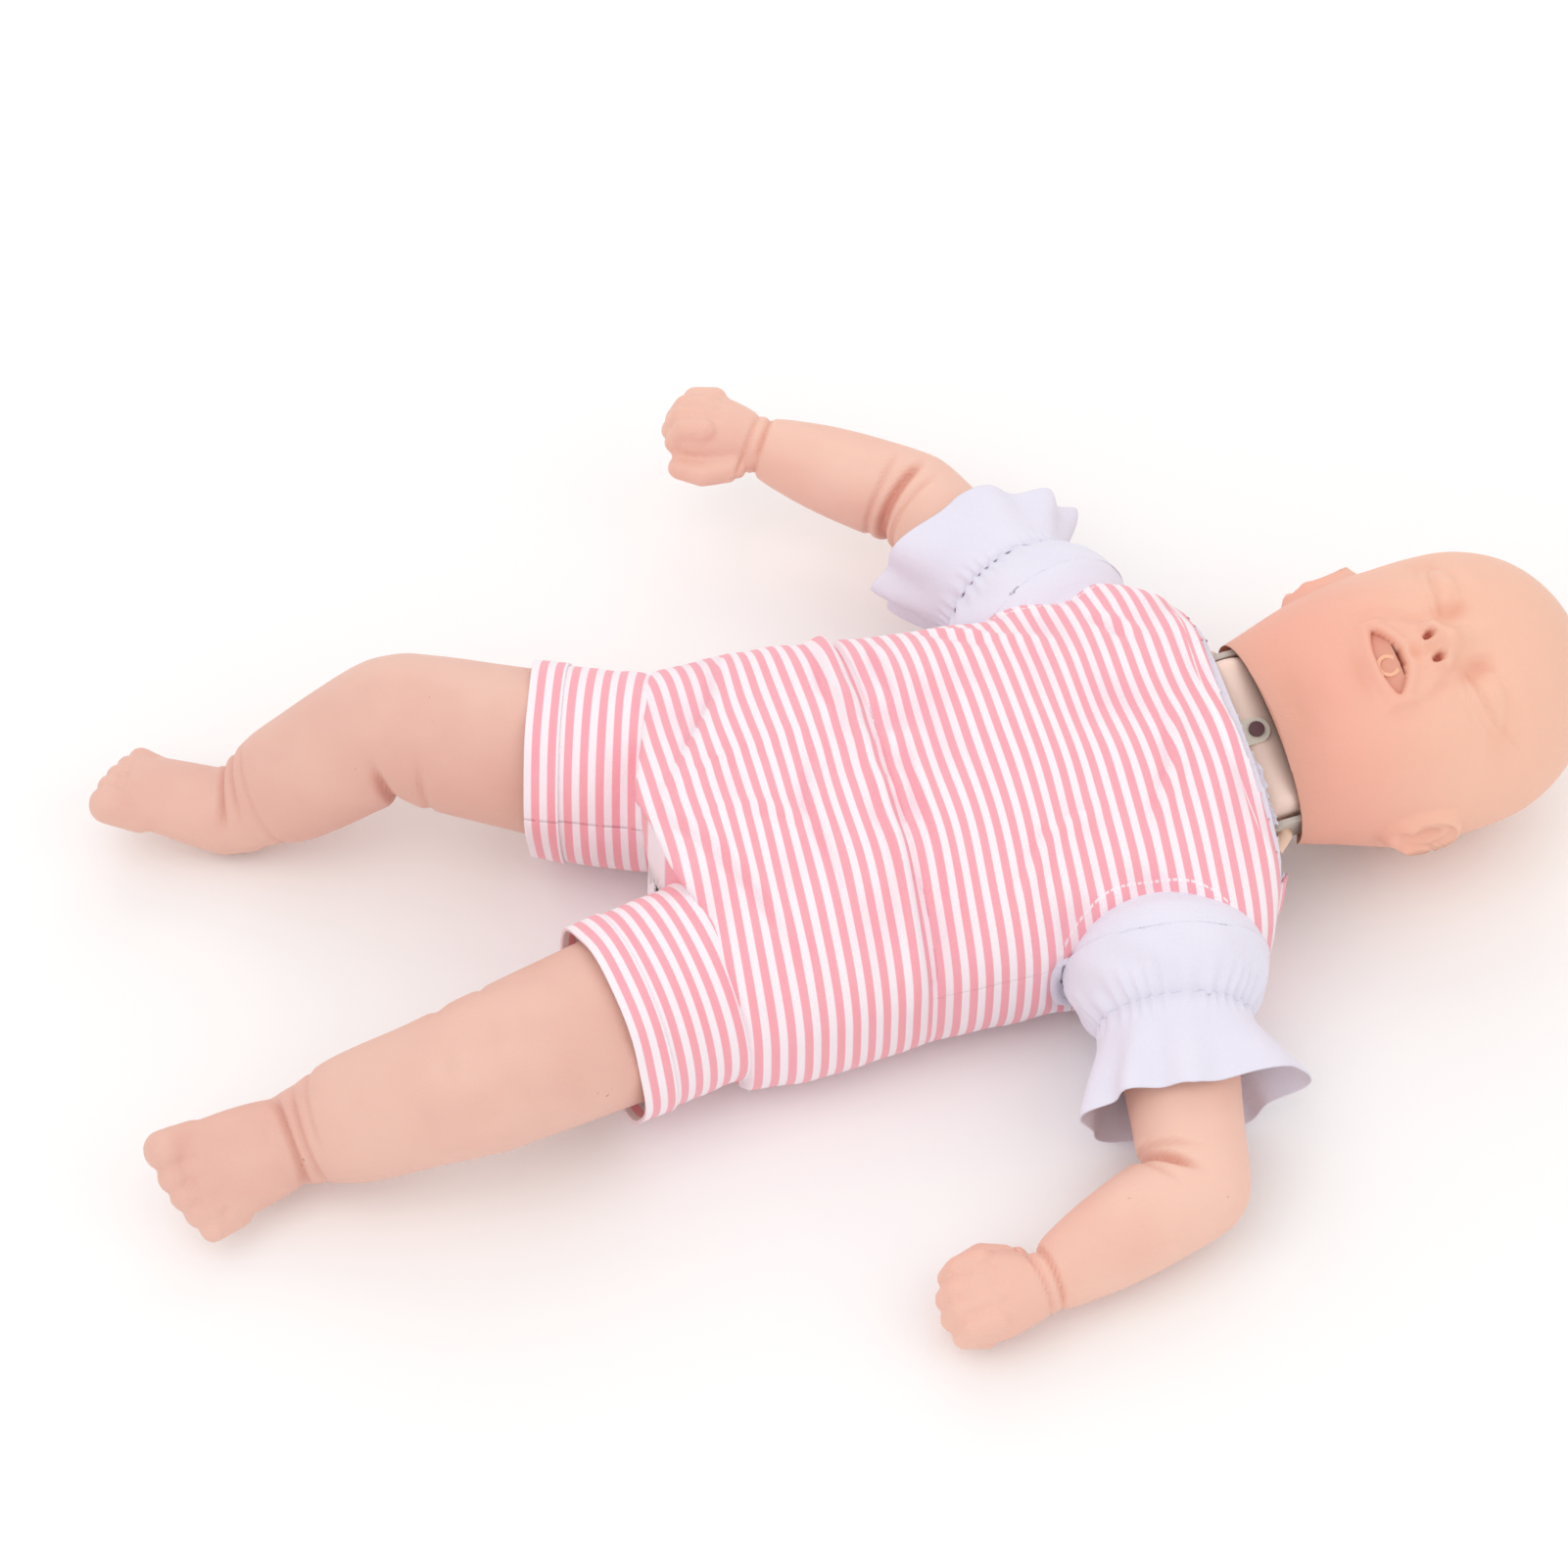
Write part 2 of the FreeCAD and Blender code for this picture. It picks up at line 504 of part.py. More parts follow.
def arm_moulding(elbow_bend, wrist_bend):
    """Soft arm with a bent elbow and a loosely closed fist."""
    elbow = walk(0, 0, 0, UPPER_ARM_LENGTH)
    wrist = walk(elbow[0], elbow[1], -elbow_bend, FOREARM_LENGTH)
    hand_angle = -elbow_bend - wrist_bend
    upper = [oval(0, 0, 0, UPPER_ARM_RADIUS - 1.0, UPPER_ARM_RADIUS - 1.0)]
    for share, radius in ((0.4, UPPER_ARM_RADIUS), (0.8, ELBOW_RADIUS + 0.5), (1.0, ELBOW_RADIUS)):
        upper.append(oval(elbow[0] * share, 0, 0, radius, radius))
    fore = []
    for share, radius in ((0.0, ELBOW_RADIUS), (0.3, FOREARM_RADIUS + 2.0), (0.6, FOREARM_RADIUS)):
        x, z = walk(elbow[0], elbow[1], -elbow_bend, FOREARM_LENGTH * share)
        fore.append(oval(x, z, -elbow_bend, radius, radius))
    fore.append(oval(wrist[0], wrist[1], -elbow_bend, WRIST_RADIUS, WRIST_RADIUS - 1.0))
    for share in (0.35, 0.7):
        x, z = walk(wrist[0], wrist[1], hand_angle, FIST_LENGTH * share)
        fore.append(oval(x, z, hand_angle, FIST_HALF_DEPTH - share, FIST_HALF_WIDTH - 1.5))
    arm = Part.makeLoft(upper, True).fuse(Part.makeLoft(fore, True))
    arm = arm.fuse(Part.makeSphere(ELBOW_RADIUS + 0.7, V(elbow[0] + 0.5, 0, elbow[1])))
    for index in range(4):
        side = 12.5 - index * 8.4
        x, z = walk(wrist[0], wrist[1], hand_angle, FIST_LENGTH - 12.0)
        x, z = walk(x, z, 90.0 + hand_angle, side)
        radius = 5.6 if index in (1, 2) else 5.2
        knuckle = V(x, 4.0, z)
        tip_x, tip_z = walk(x, z, hand_angle, 8.0)
        tip = V(tip_x, -3.0, tip_z)
        arm = arm.fuse(Part.makeSphere(radius + 0.8, knuckle))
        arm = arm.fuse(Part.makeSphere(radius, tip))
        arm = arm.fuse(Part.makeCylinder(radius, (tip - knuckle).Length, knuckle, tip - knuckle))
    x, z = walk(wrist[0], wrist[1], hand_angle, FIST_LENGTH * 0.35)
    base_x, base_z = walk(x, z, 90.0 + hand_angle, 5.0 - FIST_HALF_WIDTH)
    tip_x, tip_z = walk(base_x, base_z, hand_angle - 25.0, 15.0)
    base = V(base_x, -8.0, base_z)
    tip = V(tip_x, -12.0, tip_z)
    arm = arm.fuse(Part.makeSphere(6.0, base)).fuse(Part.makeSphere(5.4, tip))
    arm = arm.fuse(Part.makeCone(6.0, 5.4, (tip - base).Length, base, tip - base))
    return arm.fuse(flange(ARM_NECK_RADIUS, ARM_FLANGE_RADIUS))


def ring_loft(stations):
    """A lofted tube end through ovals: distance, half width, half height, pleat depth."""
    wires = []
    for distance, half_y, half_z, pleat in stations:
        points = []
        steps = 6 * FLOUNCE_PLEATS
        for step in range(steps):
            angle = 2.0 * math.pi * step / steps
            ripple = pleat * math.cos(FLOUNCE_PLEATS * angle)
            points.append(V(distance, (half_y + ripple) * math.cos(angle), (half_z + ripple) * math.sin(angle)))
        wires.append(closed_curve(points))
    return Part.makeLoft(wires, True)


def level_placement(frame):
    """A limb's root frame turned about its axis until its sides lie level."""
    along = frame.Rotation.multVec(V(1, 0, 0))
    up = V(0, 0, 1) - along * along.z
    up.normalize()
    return FreeCAD.Placement(frame.Base, FreeCAD.Rotation(along, up.cross(along), up, "XYZ"))


def tube(stations, wall):
    """A cloth tube open at both ends."""
    inner = [(d, y - wall, z - wall, p) for d, y, z, p in stations]
    first = inner[0]
    last = inner[-1]
    inner[0] = (first[0] - 0.5, first[1], first[2], first[3])
    inner[-1] = (last[0] + 0.5, last[1], last[2], last[3])
    return ring_loft(stations).cut(ring_loft(inner))


def romper_tube(stations, climb, wall):
    """A leg of the romper: a tube round the thigh that follows its slope to the front."""
    pair = []
    for inset, past in ((0.0, 0.0), (wall, 0.5)):
        wires = []
        for index, (distance, radius) in enumerate(stations):
            if index == 0:
                distance = distance - past
            if index == len(stations) - 1:
                distance = distance + past
            wires.append(oval(distance, distance * climb, 0, radius - inset, radius - inset))
        pair.append(Part.makeLoft(wires, True))
    return pair[0].cut(pair[1])


def make_limbs():
    """Arms, legs and the parts of the clothes that go with them, mirrored left and right."""
    mirror = (V(0, 0, 0), V(0, 1, 0))
    leg = leg_moulding()
    start = ROOT_GAP
    for side in ("right", "left"):
        leg_here = leg if side == "right" else leg.mirror(*mirror)
        arm = arm_moulding(*ARM_BEND[side])
        arm_here = arm if side == "right" else arm.mirror(*mirror)
        save("leg_" + side, placed(leg_here, HIP_FRAME[side]))
        save("arm_" + side, placed(arm_here, ARM_FRAME[side]))
        radius = ROMPER_LEG_RADIUS
        climb = 0.6 * math.tan(math.radians(THIGH_ANGLE))
        legging = romper_tube(((start, radius), (ROMPER_LEG_LENGTH / 2.0, radius),
                               (ROMPER_LEG_LENGTH, radius)), climb, ROMPER_CLOTH)
        cuff = romper_tube(((ROMPER_LEG_LENGTH - CUFF_WIDTH, radius + 0.4),
                            (ROMPER_LEG_LENGTH, radius + CUFF_THICKNESS)), climb, CUFF_THICKNESS + 0.6)
        save("romper_leg_" + side, placed(legging.fuse(cuff), HIP_FRAME[side]))
        level = level_placement(ARM_FRAME[side])
        sleeve = tube(((start, SLEEVE_ROOT_RADIUS, SLEEVE_ROOT_RADIUS, 0.0),
                       (SLEEVE_LENGTH * 0.5, SLEEVE_ROOT_RADIUS - 4.5, SLEEVE_ROOT_RADIUS - 5.5, 0.0),
                       (SLEEVE_LENGTH, SLEEVE_SEAM_RADIUS, SLEEVE_SEAM_RADIUS - 1.0, 0.0)), SHIRT_CLOTH)
        save("sleeve_" + side, placed(sleeve, level))
        flounce = tube(((SLEEVE_LENGTH, SLEEVE_SEAM_RADIUS + 1.4, SLEEVE_SEAM_RADIUS + 0.4, 0.3),
                        (SLEEVE_LENGTH + 0.4 * FLOUNCE_LENGTH, 0.55 * (SLEEVE_SEAM_RADIUS + FLOUNCE_HALF_WIDTH),
                         SLEEVE_SEAM_RADIUS + 1.0, 1.5),
                        (SLEEVE_LENGTH + FLOUNCE_LENGTH, FLOUNCE_HALF_WIDTH, FLOUNCE_HALF_HEIGHT, 2.2)),
                       SHIRT_CLOTH)
        save("sleeve_flounce_" + side, placed(flounce, level))


def make_neck():
    """Neck drum on its swivel stem, the hinge pin with its two bent ends, and the retaining strap."""
    drum = Part.makeCylinder(DRUM_RADIUS, 2 * DRUM_HALF_LENGTH, V(HINGE_X, -DRUM_HALF_LENGTH, HINGE_Z), V(0, 1, 0))
    ends = [edge for edge in drum.Edges if edge.Curve.TypeId == "Part::GeomCircle"]
    drum = drum.makeFillet(6.0, ends)
    stem_start = WELL_FLOOR - WELL_BOSS - 4.5
    stem = Part.makeCylinder(STEM_RADIUS, HINGE_X - stem_start, V(stem_start, 0, HINGE_Z), V(1, 0, 0))
    snap = Part.makeCylinder(STEM_RADIUS + 2.5, 4.0, V(stem_start, 0, HINGE_Z), V(1, 0, 0))
    drum = drum.fuse(stem).fuse(snap)
    drum = drum.cut(Part.makeCylinder(AIRWAY_RADIUS, 100.0, V(stem_start - 5.0, 0, HINGE_Z), V(1, 0, 0)))
    reach = ARM_PLATE_INNER + ARM_PLATE_THICKNESS + 1.6
    for sign in (-1, 1):
        start = AIRWAY_RADIUS + 4.0
        bore = Part.makeCylinder(PIN_RADIUS + 0.02, reach, V(HINGE_X, sign * start, HINGE_Z), V(0, sign, 0))
        drum = drum.cut(bore)
    rivet_top = HINGE_Z + DRUM_RADIUS
    drum = drum.cut(Part.makeCylinder(1.6, 6.0, V(HINGE_X, 0, rivet_top - 5.0)))
    save("neck_drum", placed(drum, HEAD_PLACEMENT))
    washer = Part.makeCylinder(STEM_RADIUS + 9.0, 1.5, V(WELL_FLOOR + 0.1, 0, HINGE_Z), V(1, 0, 0))
    washer = washer.cut(Part.makeCylinder(STEM_RADIUS + 0.1, 10.0, V(WELL_FLOOR - 2.0, 0, HINGE_Z), V(1, 0, 0)))
    save("neck_washer", placed(washer, HEAD_PLACEMENT))
    for sign, side in ((1, "right"), (-1, "left")):
        start = AIRWAY_RADIUS + 4.2
        pin = Part.makeCylinder(PIN_RADIUS, reach - start, V(HINGE_X, sign * start, HINGE_Z), V(0, sign, 0))
        elbow = V(HINGE_X, sign * reach, HINGE_Z)
        tip = V(-7.0, sign * 5.5, 0)
        peg = Part.makeCylinder(PIN_RADIUS, tip.Length, elbow, tip)
        pin = pin.fuse(Part.makeSphere(PIN_RADIUS, elbow)).fuse(peg)
        save("hinge_pin_" + side, placed(pin, HEAD_PLACEMENT))
    half = 6.0
    strap = block(WELL_FLOOR + 3.0, HINGE_X, -half, half, rivet_top + 0.05, rivet_top + 0.85)
    strap = strap.fuse(Part.makeCylinder(half, 0.8, V(HINGE_X, 0, rivet_top + 0.05)))
    strap = strap.cut(Part.makeCylinder(1.6, 6.0, V(HINGE_X, 0, rivet_top - 2.0)))
    save("retaining_strap", placed(strap, HEAD_PLACEMENT))
    rivet = Part.makeCylinder(1.55, 6.0, V(HINGE_X, 0, rivet_top - 4.9))
    rivet = rivet.fuse(Part.makeCylinder(3.4, 1.4, V(HINGE_X, 0, rivet_top + 0.9)))
    save("strap_rivet", placed(rivet, HEAD_PLACEMENT))


# x, half breadth, front and back of the head at each station
HEAD_STATIONS = (
    (-1.24, 0.78, 0.48, 0.40),
    (-1.00, 0.85, 0.72, 0.60),
    (-0.75, 0.92, 0.84, 0.79),
    (-0.48, 0.98, 0.90, 0.92),
    (-0.18, 1.00, 0.93, 1.00),
    (0.12, 1.00, 0.99, 1.00),
    (0.40, 0.95, 0.99, 0.94),
    (0.65, 0.81, 0.88, 0.78),
    (0.84, 0.59, 0.66, 0.55),
    (0.95, 0.34, 0.38, 0.32),
)


def head_outline(x, breadth, front, back):
    """Section across the head, from the face round by the ears."""
    points = []
    for step in range(24):
        angle = 2.0 * math.pi * step / 24
        depth = front if math.sin(angle) > 0 else back
        points.append(V(x, breadth * math.cos(angle), depth * math.sin(angle)))
    return closed_curve(points)


def head_form(inset, overrun=0.0):
    """The head as one lofted solid with a small dome at the crown."""
    wires = []
    for index, (x, breadth, front, back) in enumerate(HEAD_STATIONS):
        place = x * HEAD_CROWN * (1.0 if x < 0 else 1.0 - inset / HEAD_CROWN)
        if index == 0:
            place = place - overrun
        wires.append(head_outline(place, breadth * HEAD_HALF_BREADTH - inset, front * HEAD_FRONT - inset,
                                  back * HEAD_BACK - inset))
    crown = Part.Vertex(V(HEAD_CROWN - inset, 0, 0))
    wires.append(crown)
    return Part.makeLoft(wires, True)


def make_head():
    """Soft head skin over a hinged frame that carries the mouth nozzle and the airway elbow."""
    skin = head_form(0.0)
    nose = Part.makeSphere(7.2, NOSE)
    nose = nose.fuse(Part.makeCone(6.2, 4.0, 20.0, NOSE + V(2.0, 0, -2.0), V(1, 0, -0.07)))
    for sign in (-1, 1):
        nose = nose.fuse(Part.makeSphere(4.4, NOSE + V(-2.5, sign * 8.4, -3.4)))
        eye = Part.makeSphere(13.0, V(3.5, sign * EYE_SPACING / 2.0, HEAD_FRONT - 19.5))
        ear = Part.makeTorus(9.0, 3.4, V(0, 0, 0), V(0, sign, 0.12)).transformGeometry(EAR_STRETCH)
        ear.translate(V(EAR.x, sign * EAR.y, EAR.z))
        skin = skin.fuse(eye).fuse(ear)
    skin = skin.fuse(nose)
    lips = Part.makeTorus(MOUTH_HALF_WIDTH - 1.0, 3.6, V(0, 0, 0), V(0, 0, 1))
    stretch = FreeCAD.Matrix()
    stretch.scale(V(MOUTH_HALF_LENGTH / MOUTH_HALF_WIDTH, 1.0, 1.0))
    lips = lips.transformGeometry(stretch)
    lips.translate(MOUTH)
    skin = skin.fuse(lips)
    skin = skin.cut(head_form(SKIN_WALL, 3.0))
    mouth = Part.makeCylinder(MOUTH_HALF_WIDTH - 2.5, 40.0, V(0, 0, -20.0))
    mouth = mouth.transformGeometry(stretch)
    mouth.translate(MOUTH + V(0, 0, 5.0))
    skin = skin.cut(mouth)
    for sign in (-1, 1):
        nostril = Part.makeCylinder(1.8, 6.0, NOSE + V(-8.5, sign * 4.6, 2.0), V(0.8, 0, -0.6))
        skin = skin.cut(nostril)
    nape = block(HEAD_RIM - 60.0, HEAD_RIM + 2.0, -90, 90, -90, -8)
    nape.rotate(V(HEAD_RIM, 0, -8.0), V(0, 1, 0), -28.0)
    skin = skin.cut(nape)
    notch = Part.makeCylinder(PIN_RADIUS + 2.6, 160.0, V(HINGE_X + 1.0, -80.0, HINGE_Z), V(0, 1, 0))
    skin = skin.cut(notch)
    save("head_skin", placed(skin, HEAD_PLACEMENT))

    cavity = head_form(SKIN_WALL + LAYER_GAP)
    frame = cavity.common(block(BULKHEAD_X, BULKHEAD_X + BULKHEAD_THICKNESS, -90, 90, -90, 90))
    for sign in (-1, 1):
        y = sign * (ARM_PLATE_INNER + ARM_PLATE_THICKNESS / 2.0)
        y0 = y - ARM_PLATE_THICKNESS / 2.0
        plate = block(HINGE_X, BULKHEAD_X + 1.0, y0, y0 + ARM_PLATE_THICKNESS, HINGE_Z - 8.0, HINGE_Z + 8.0)
        eye = Part.makeCylinder(8.0, ARM_PLATE_THICKNESS, V(HINGE_X, y0, HINGE_Z), V(0, 1, 0))
        hole = Part.makeCylinder(PIN_RADIUS + PIN_CLEARANCE, 20.0, V(HINGE_X, y0 - 5.0, HINGE_Z), V(0, 1, 0))
        frame = frame.fuse(plate.fuse(eye).cut(hole))
    seat_z = MOUTH.z - NOZZLE_HEIGHT
    bracket = block(BULKHEAD_X + 1.0, MOUTH.x + 12.0, -13.0, 13.0, seat_z - 3.0, seat_z)
    frame = frame.fuse(bracket)
    bore = Part.makeCylinder(AIRWAY_RADIUS, 20.0, V(MOUTH.x, 0, seat_z - 10.0))
    channel = Part.makeCylinder(AIRWAY_RADIUS + 2.3, 20.0, V(BULKHEAD_X - 8.0, 0, HINGE_Z), V(1, 0, 0))
    frame = frame.cut(bore).cut(channel)
    save("head_frame", placed(frame, HEAD_PLACEMENT))

    nozzle = Part.makeCylinder(NOZZLE_RADIUS, NOZZLE_HEIGHT - 6.0, V(MOUTH.x, 0, seat_z))
    nozzle = nozzle.fuse(Part.makeCylinder(NOZZLE_RADIUS - 2.2, NOZZLE_HEIGHT - 3.0, V(MOUTH.x, 0, seat_z)))
    nozzle = nozzle.fuse(Part.makeCylinder(NOZZLE_RADIUS - 3.4, NOZZLE_HEIGHT, V(MOUTH.x, 0, seat_z)))
    nozzle = nozzle.cut(Part.makeCylinder(NOZZLE_BORE, 60.0, V(MOUTH.x, 0, seat_z - 10.0)))
    save("mouth_nozzle", placed(nozzle, HEAD_PLACEMENT))

    outlet_x = HINGE_X + DRUM_RADIUS + 1.5
    bend = MOUTH.x - (BULKHEAD_X - 6.0)
    path_top = V(MOUTH.x, 0, seat_z)
    corner_top = V(MOUTH.x, 0, HINGE_Z + bend)
    corner_end = V(MOUTH.x - bend, 0, HINGE_Z)
    middle = V(MOUTH.x - bend + bend * math.cos(math.pi / 4.0), 0, HINGE_Z + bend - bend * math.sin(math.pi / 4.0))
    path = Part.Wire([Part.LineSegment(path_top, corner_top).toShape(),
                      Part.Arc(corner_top, middle, corner_end).toShape(),
                      Part.LineSegment(corner_end, V(outlet_x, 0, HINGE_Z)).toShape()])
    pipe = path.makePipeShell([Part.Wire([Part.makeCircle(AIRWAY_RADIUS - 0.1, path_top, V(0, 0, 1))])], True, True)
    bore = path.makePipeShell([Part.Wire([Part.makeCircle(NOZZLE_BORE, path_top, V(0, 0, 1))])], True, True)
    save("airway_elbow", placed(pipe.cut(bore), HEAD_PLACEMENT))


os.makedirs("parts", exist_ok=True)
make_shells()
make_chest()
make_torso_clothes()
make_limbs()
make_neck()
make_head()
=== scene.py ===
import math

import bpy
import numpy as np
from mathutils import Matrix, Vector


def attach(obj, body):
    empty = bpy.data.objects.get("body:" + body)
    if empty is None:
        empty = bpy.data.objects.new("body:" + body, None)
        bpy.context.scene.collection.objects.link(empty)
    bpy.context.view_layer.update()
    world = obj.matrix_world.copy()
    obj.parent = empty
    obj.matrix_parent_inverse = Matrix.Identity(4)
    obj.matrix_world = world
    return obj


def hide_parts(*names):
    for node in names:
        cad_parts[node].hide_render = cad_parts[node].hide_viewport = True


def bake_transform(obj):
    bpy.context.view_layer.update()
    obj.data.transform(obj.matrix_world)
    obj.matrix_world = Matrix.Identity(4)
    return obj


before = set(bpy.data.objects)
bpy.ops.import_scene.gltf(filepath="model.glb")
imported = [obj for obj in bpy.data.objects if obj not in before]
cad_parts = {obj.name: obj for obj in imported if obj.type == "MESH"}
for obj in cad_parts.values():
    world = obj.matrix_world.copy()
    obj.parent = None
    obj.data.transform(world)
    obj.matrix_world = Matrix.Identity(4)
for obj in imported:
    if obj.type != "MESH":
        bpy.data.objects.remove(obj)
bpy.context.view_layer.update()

# The studio is a wide pale floor under broad, soft lights. The manikin lies on its back and is seen
# from its left side and above, a little from the feet.
aim = Vector((0.0, 0.07813, 0.0))
elevation = math.radians(50.0)
azimuth = math.radians(-13.3)
distance = 2.0
back = Vector((math.sin(azimuth) * math.cos(elevation), -math.cos(azimuth) * math.cos(elevation),
               math.sin(elevation)))
camera_data = bpy.data.cameras.new("camera")
camera_data.lens = 103.44
camera_data.sensor_width = 36.0
camera_data.clip_end = 20.0
camera = bpy.data.objects.new("camera", camera_data)
camera.location = aim + distance * back
camera.rotation_euler = (-back).to_track_quat("-Z", "Y").to_euler()
bpy.context.collection.objects.link(camera)
bpy.context.scene.camera = camera


def fresh(name):
    """Name the primitive that was just added."""
    piece = bpy.context.active_object
    piece.name = name
    piece.data.name = name
    return piece


def deselect():
    bpy.ops.object.select_all(action="DESELECT")


deselect()
bpy.ops.mesh.primitive_plane_add(size=12.0, location=(0, 0, -0.0006))
floor = fresh("studio_floor")


CHEST_SPOT = Vector((0.03, 0.0, 0.05))


def soft_light(name, place, size, power):
    """A square soft box aimed at the manikin."""
    lamp = bpy.data.lights.new(name, "AREA")
    lamp.shape = "SQUARE"
    lamp.size = size
    lamp.energy = power
    rig = bpy.data.objects.new(name, lamp)
    rig.location = place
    rig.rotation_euler = (CHEST_SPOT - Vector(place)).to_track_quat("-Z", "Y").to_euler()
    bpy.context.collection.objects.link(rig)


soft_light("key_light", (-0.9, -0.6, 1.9), 1.6, 9.0)
soft_light("fill_light", (1.3, -1.2, 1.5), 1.8, 5.0)
soft_light("back_light", (0.3, 1.7, 1.5), 1.8, 6.0)
world = bpy.data.worlds.new("studio")
world.use_nodes = True
world.node_tree.nodes["Background"].inputs["Color"].default_value = (1.0, 0.99, 0.985, 1)
world.node_tree.nodes["Background"].inputs["Strength"].default_value = 0.82
bpy.context.scene.world = world
bpy.context.scene.view_settings.view_transform = "Standard"


class Amount:
    """One number in a material. Arithmetic on it adds the Math nodes."""

    def __init__(self, look, socket):
        self.look = look
        self.socket = socket

    def math(self, operation, *others):
        values = {index: value for index, value in enumerate((self,) + others)}
        made = self.look.node("ShaderNodeMath", {"operation": operation}, values)
        return Amount(self.look, made.outputs[0])

    def __add__(self, other):
        return self.math("ADD", other)

    __radd__ = __add__

    def __mul__(self, other):
        return self.math("MULTIPLY", other)

    __rmul__ = __mul__


class Look:
    """A material under construction, with the few node patterns that the pieces use."""

    def __init__(self, name):
        self.material = bpy.data.materials.new(name)
        self.material.use_nodes = True
        self.tree = self.material.node_tree
        self.shader = self.tree.nodes["Principled BSDF"]

    def node(self, kind, settings=None, values=None):
        made = self.tree.nodes.new(kind)
        for key, value in (settings or {}).items():
            setattr(made, key, value)
        for key, value in (values or {}).items():
            self.plug(made.inputs[key], value)
        return made

    def plug(self, socket, value):
        if isinstance(value, Amount):
            value = value.socket
        if isinstance(value, bpy.types.NodeSocket):
            self.tree.links.new(value, socket)
        else:
            socket.default_value = value

    def set(self, **values):
        for key, value in values.items():
            self.plug(self.shader.inputs[key.replace("_", " ")], value)

    def amount(self, socket):
        return Amount(self, socket)

    def place(self):
        """Object coordinates."""
        return self.node("ShaderNodeTexCoord").outputs["Object"]

    def axes(self):
        parts = self.node("ShaderNodeSeparateXYZ", values={0: self.place()})
        return [self.amount(parts.outputs[index]) for index in range(3)]

    def painted(self, name):
        """A number that the piece's points carry."""
        return self.amount(self.node("ShaderNodeAttribute", {"attribute_name": name}).outputs["Fac"])

    def noise(self, scale, detail=2.0, stretch=None):
        vector = self.place()
        if stretch:
            vector = self.node("ShaderNodeMapping", values={"Vector": vector, "Scale": stretch}).outputs[0]
        made = self.node("ShaderNodeTexNoise", values={"Vector": vector, "Scale": scale, "Detail": detail})
        return self.amount(made.outputs["Fac"])

    def between(self, value, low, high):
        """A smooth step of value from low to high."""
        made = self.node("ShaderNodeMapRange", {"interpolation_type": "SMOOTHSTEP"},
                         {"Value": value, "From Min": low, "From Max": high})
        return self.amount(made.outputs["Result"])

    def blend(self, factor, first, second):
        made = self.node("ShaderNodeMix", {"data_type": "RGBA"})
        self.plug(made.inputs["Factor"], factor)
        self.plug(made.inputs[6], first)
        self.plug(made.inputs[7], second)
        return made.outputs[2]

    def bump(self, height, distance):
        made = self.node("ShaderNodeBump", values={"Height": height, "Distance": distance, "Strength": 1.0})
        self.set(Normal=made.outputs["Normal"])


def colour(red, green, blue):
    """A screen colour, 0 to 255, as Blender's linear one."""
    line = []
    for part in (red, green, blue):
        part = part / 255.0
        line.append(part / 12.92 if part <= 0.04045 else ((part + 0.055) / 1.055) ** 2.4)
    return (line[0], line[1], line[2], 1.0)


paper = Look("studio_paper")
paper.set(Base_Color=colour(252, 252, 252), Roughness=0.9)
floor.data.materials.append(paper.material)


# The head skin is one hollow moulding of soft vinyl with a crying infant's face, closed eyes and
# low moulded ears. It is open at the neck, where it slips over the hinged head frame.
HEAD_CENTRE = Vector((271.0, 8.0, 66.6))
HEAD_TURN = Matrix.Rotation(math.radians(6.8), 3, "Z") @ Matrix.Rotation(math.radians(17.0), 3, "X")
HEAD_SECTIONS = np.array((
    (-82.0, 46.8, 27.8, 26.4), (-66.0, 51.0, 41.8, 39.6), (-49.5, 55.2, 48.7, 52.1),
    (-31.7, 58.8, 52.2, 60.7), (-11.9, 60.0, 53.9, 66.0), (7.9, 60.0, 57.4, 66.0),
    (26.4, 57.0, 57.4, 62.0), (42.9, 48.6, 51.0, 51.5),
    (55.4, 35.4, 38.3, 36.3), (62.7, 20.4, 22.0, 21.1), (66.0, 0.0, 0.0, 0.0)))


def along_stations(share, table):
    """Smooth values between the rows of a table, each row at an even share of the way."""
    table = np.asarray(table, float)
    place = np.clip(share, 0.0, 1.0) * (len(table) - 1)
    row = np.minimum(place.astype(int), len(table) - 2)
    part = (place - row)[:, None]
    before, start = table[np.maximum(row - 1, 0)], table[row]
    stop, after = table[row + 1], table[np.minimum(row + 2, len(table) - 1)]
    square = 2 * before - 5 * start + 4 * stop - after
    cube = 3 * start - before - 3 * stop + after
    return 0.5 * (2 * start + (stop - before) * part + square * part ** 2 + cube * part ** 3)


def points_of(piece):
    spots = np.empty(len(piece.data.vertices) * 3)
    piece.data.vertices.foreach_get("co", spots)
    return spots.reshape(-1, 3)


def put_points(piece, spots):
    piece.data.vertices.foreach_set("co", np.ascontiguousarray(spots, dtype=float).ravel())
    piece.data.update()


def settle(merge=True, outwards=True):
    """Merge the active mesh's doubles and turn its faces outwards."""
    bpy.ops.object.mode_set(mode="EDIT")
    bpy.ops.mesh.select_all(action="SELECT")
    if merge:
        bpy.ops.mesh.remove_doubles(threshold=0.00002)
    if outwards:
        bpy.ops.mesh.normals_make_consistent(inside=False)
    bpy.ops.object.mode_set(mode="OBJECT")


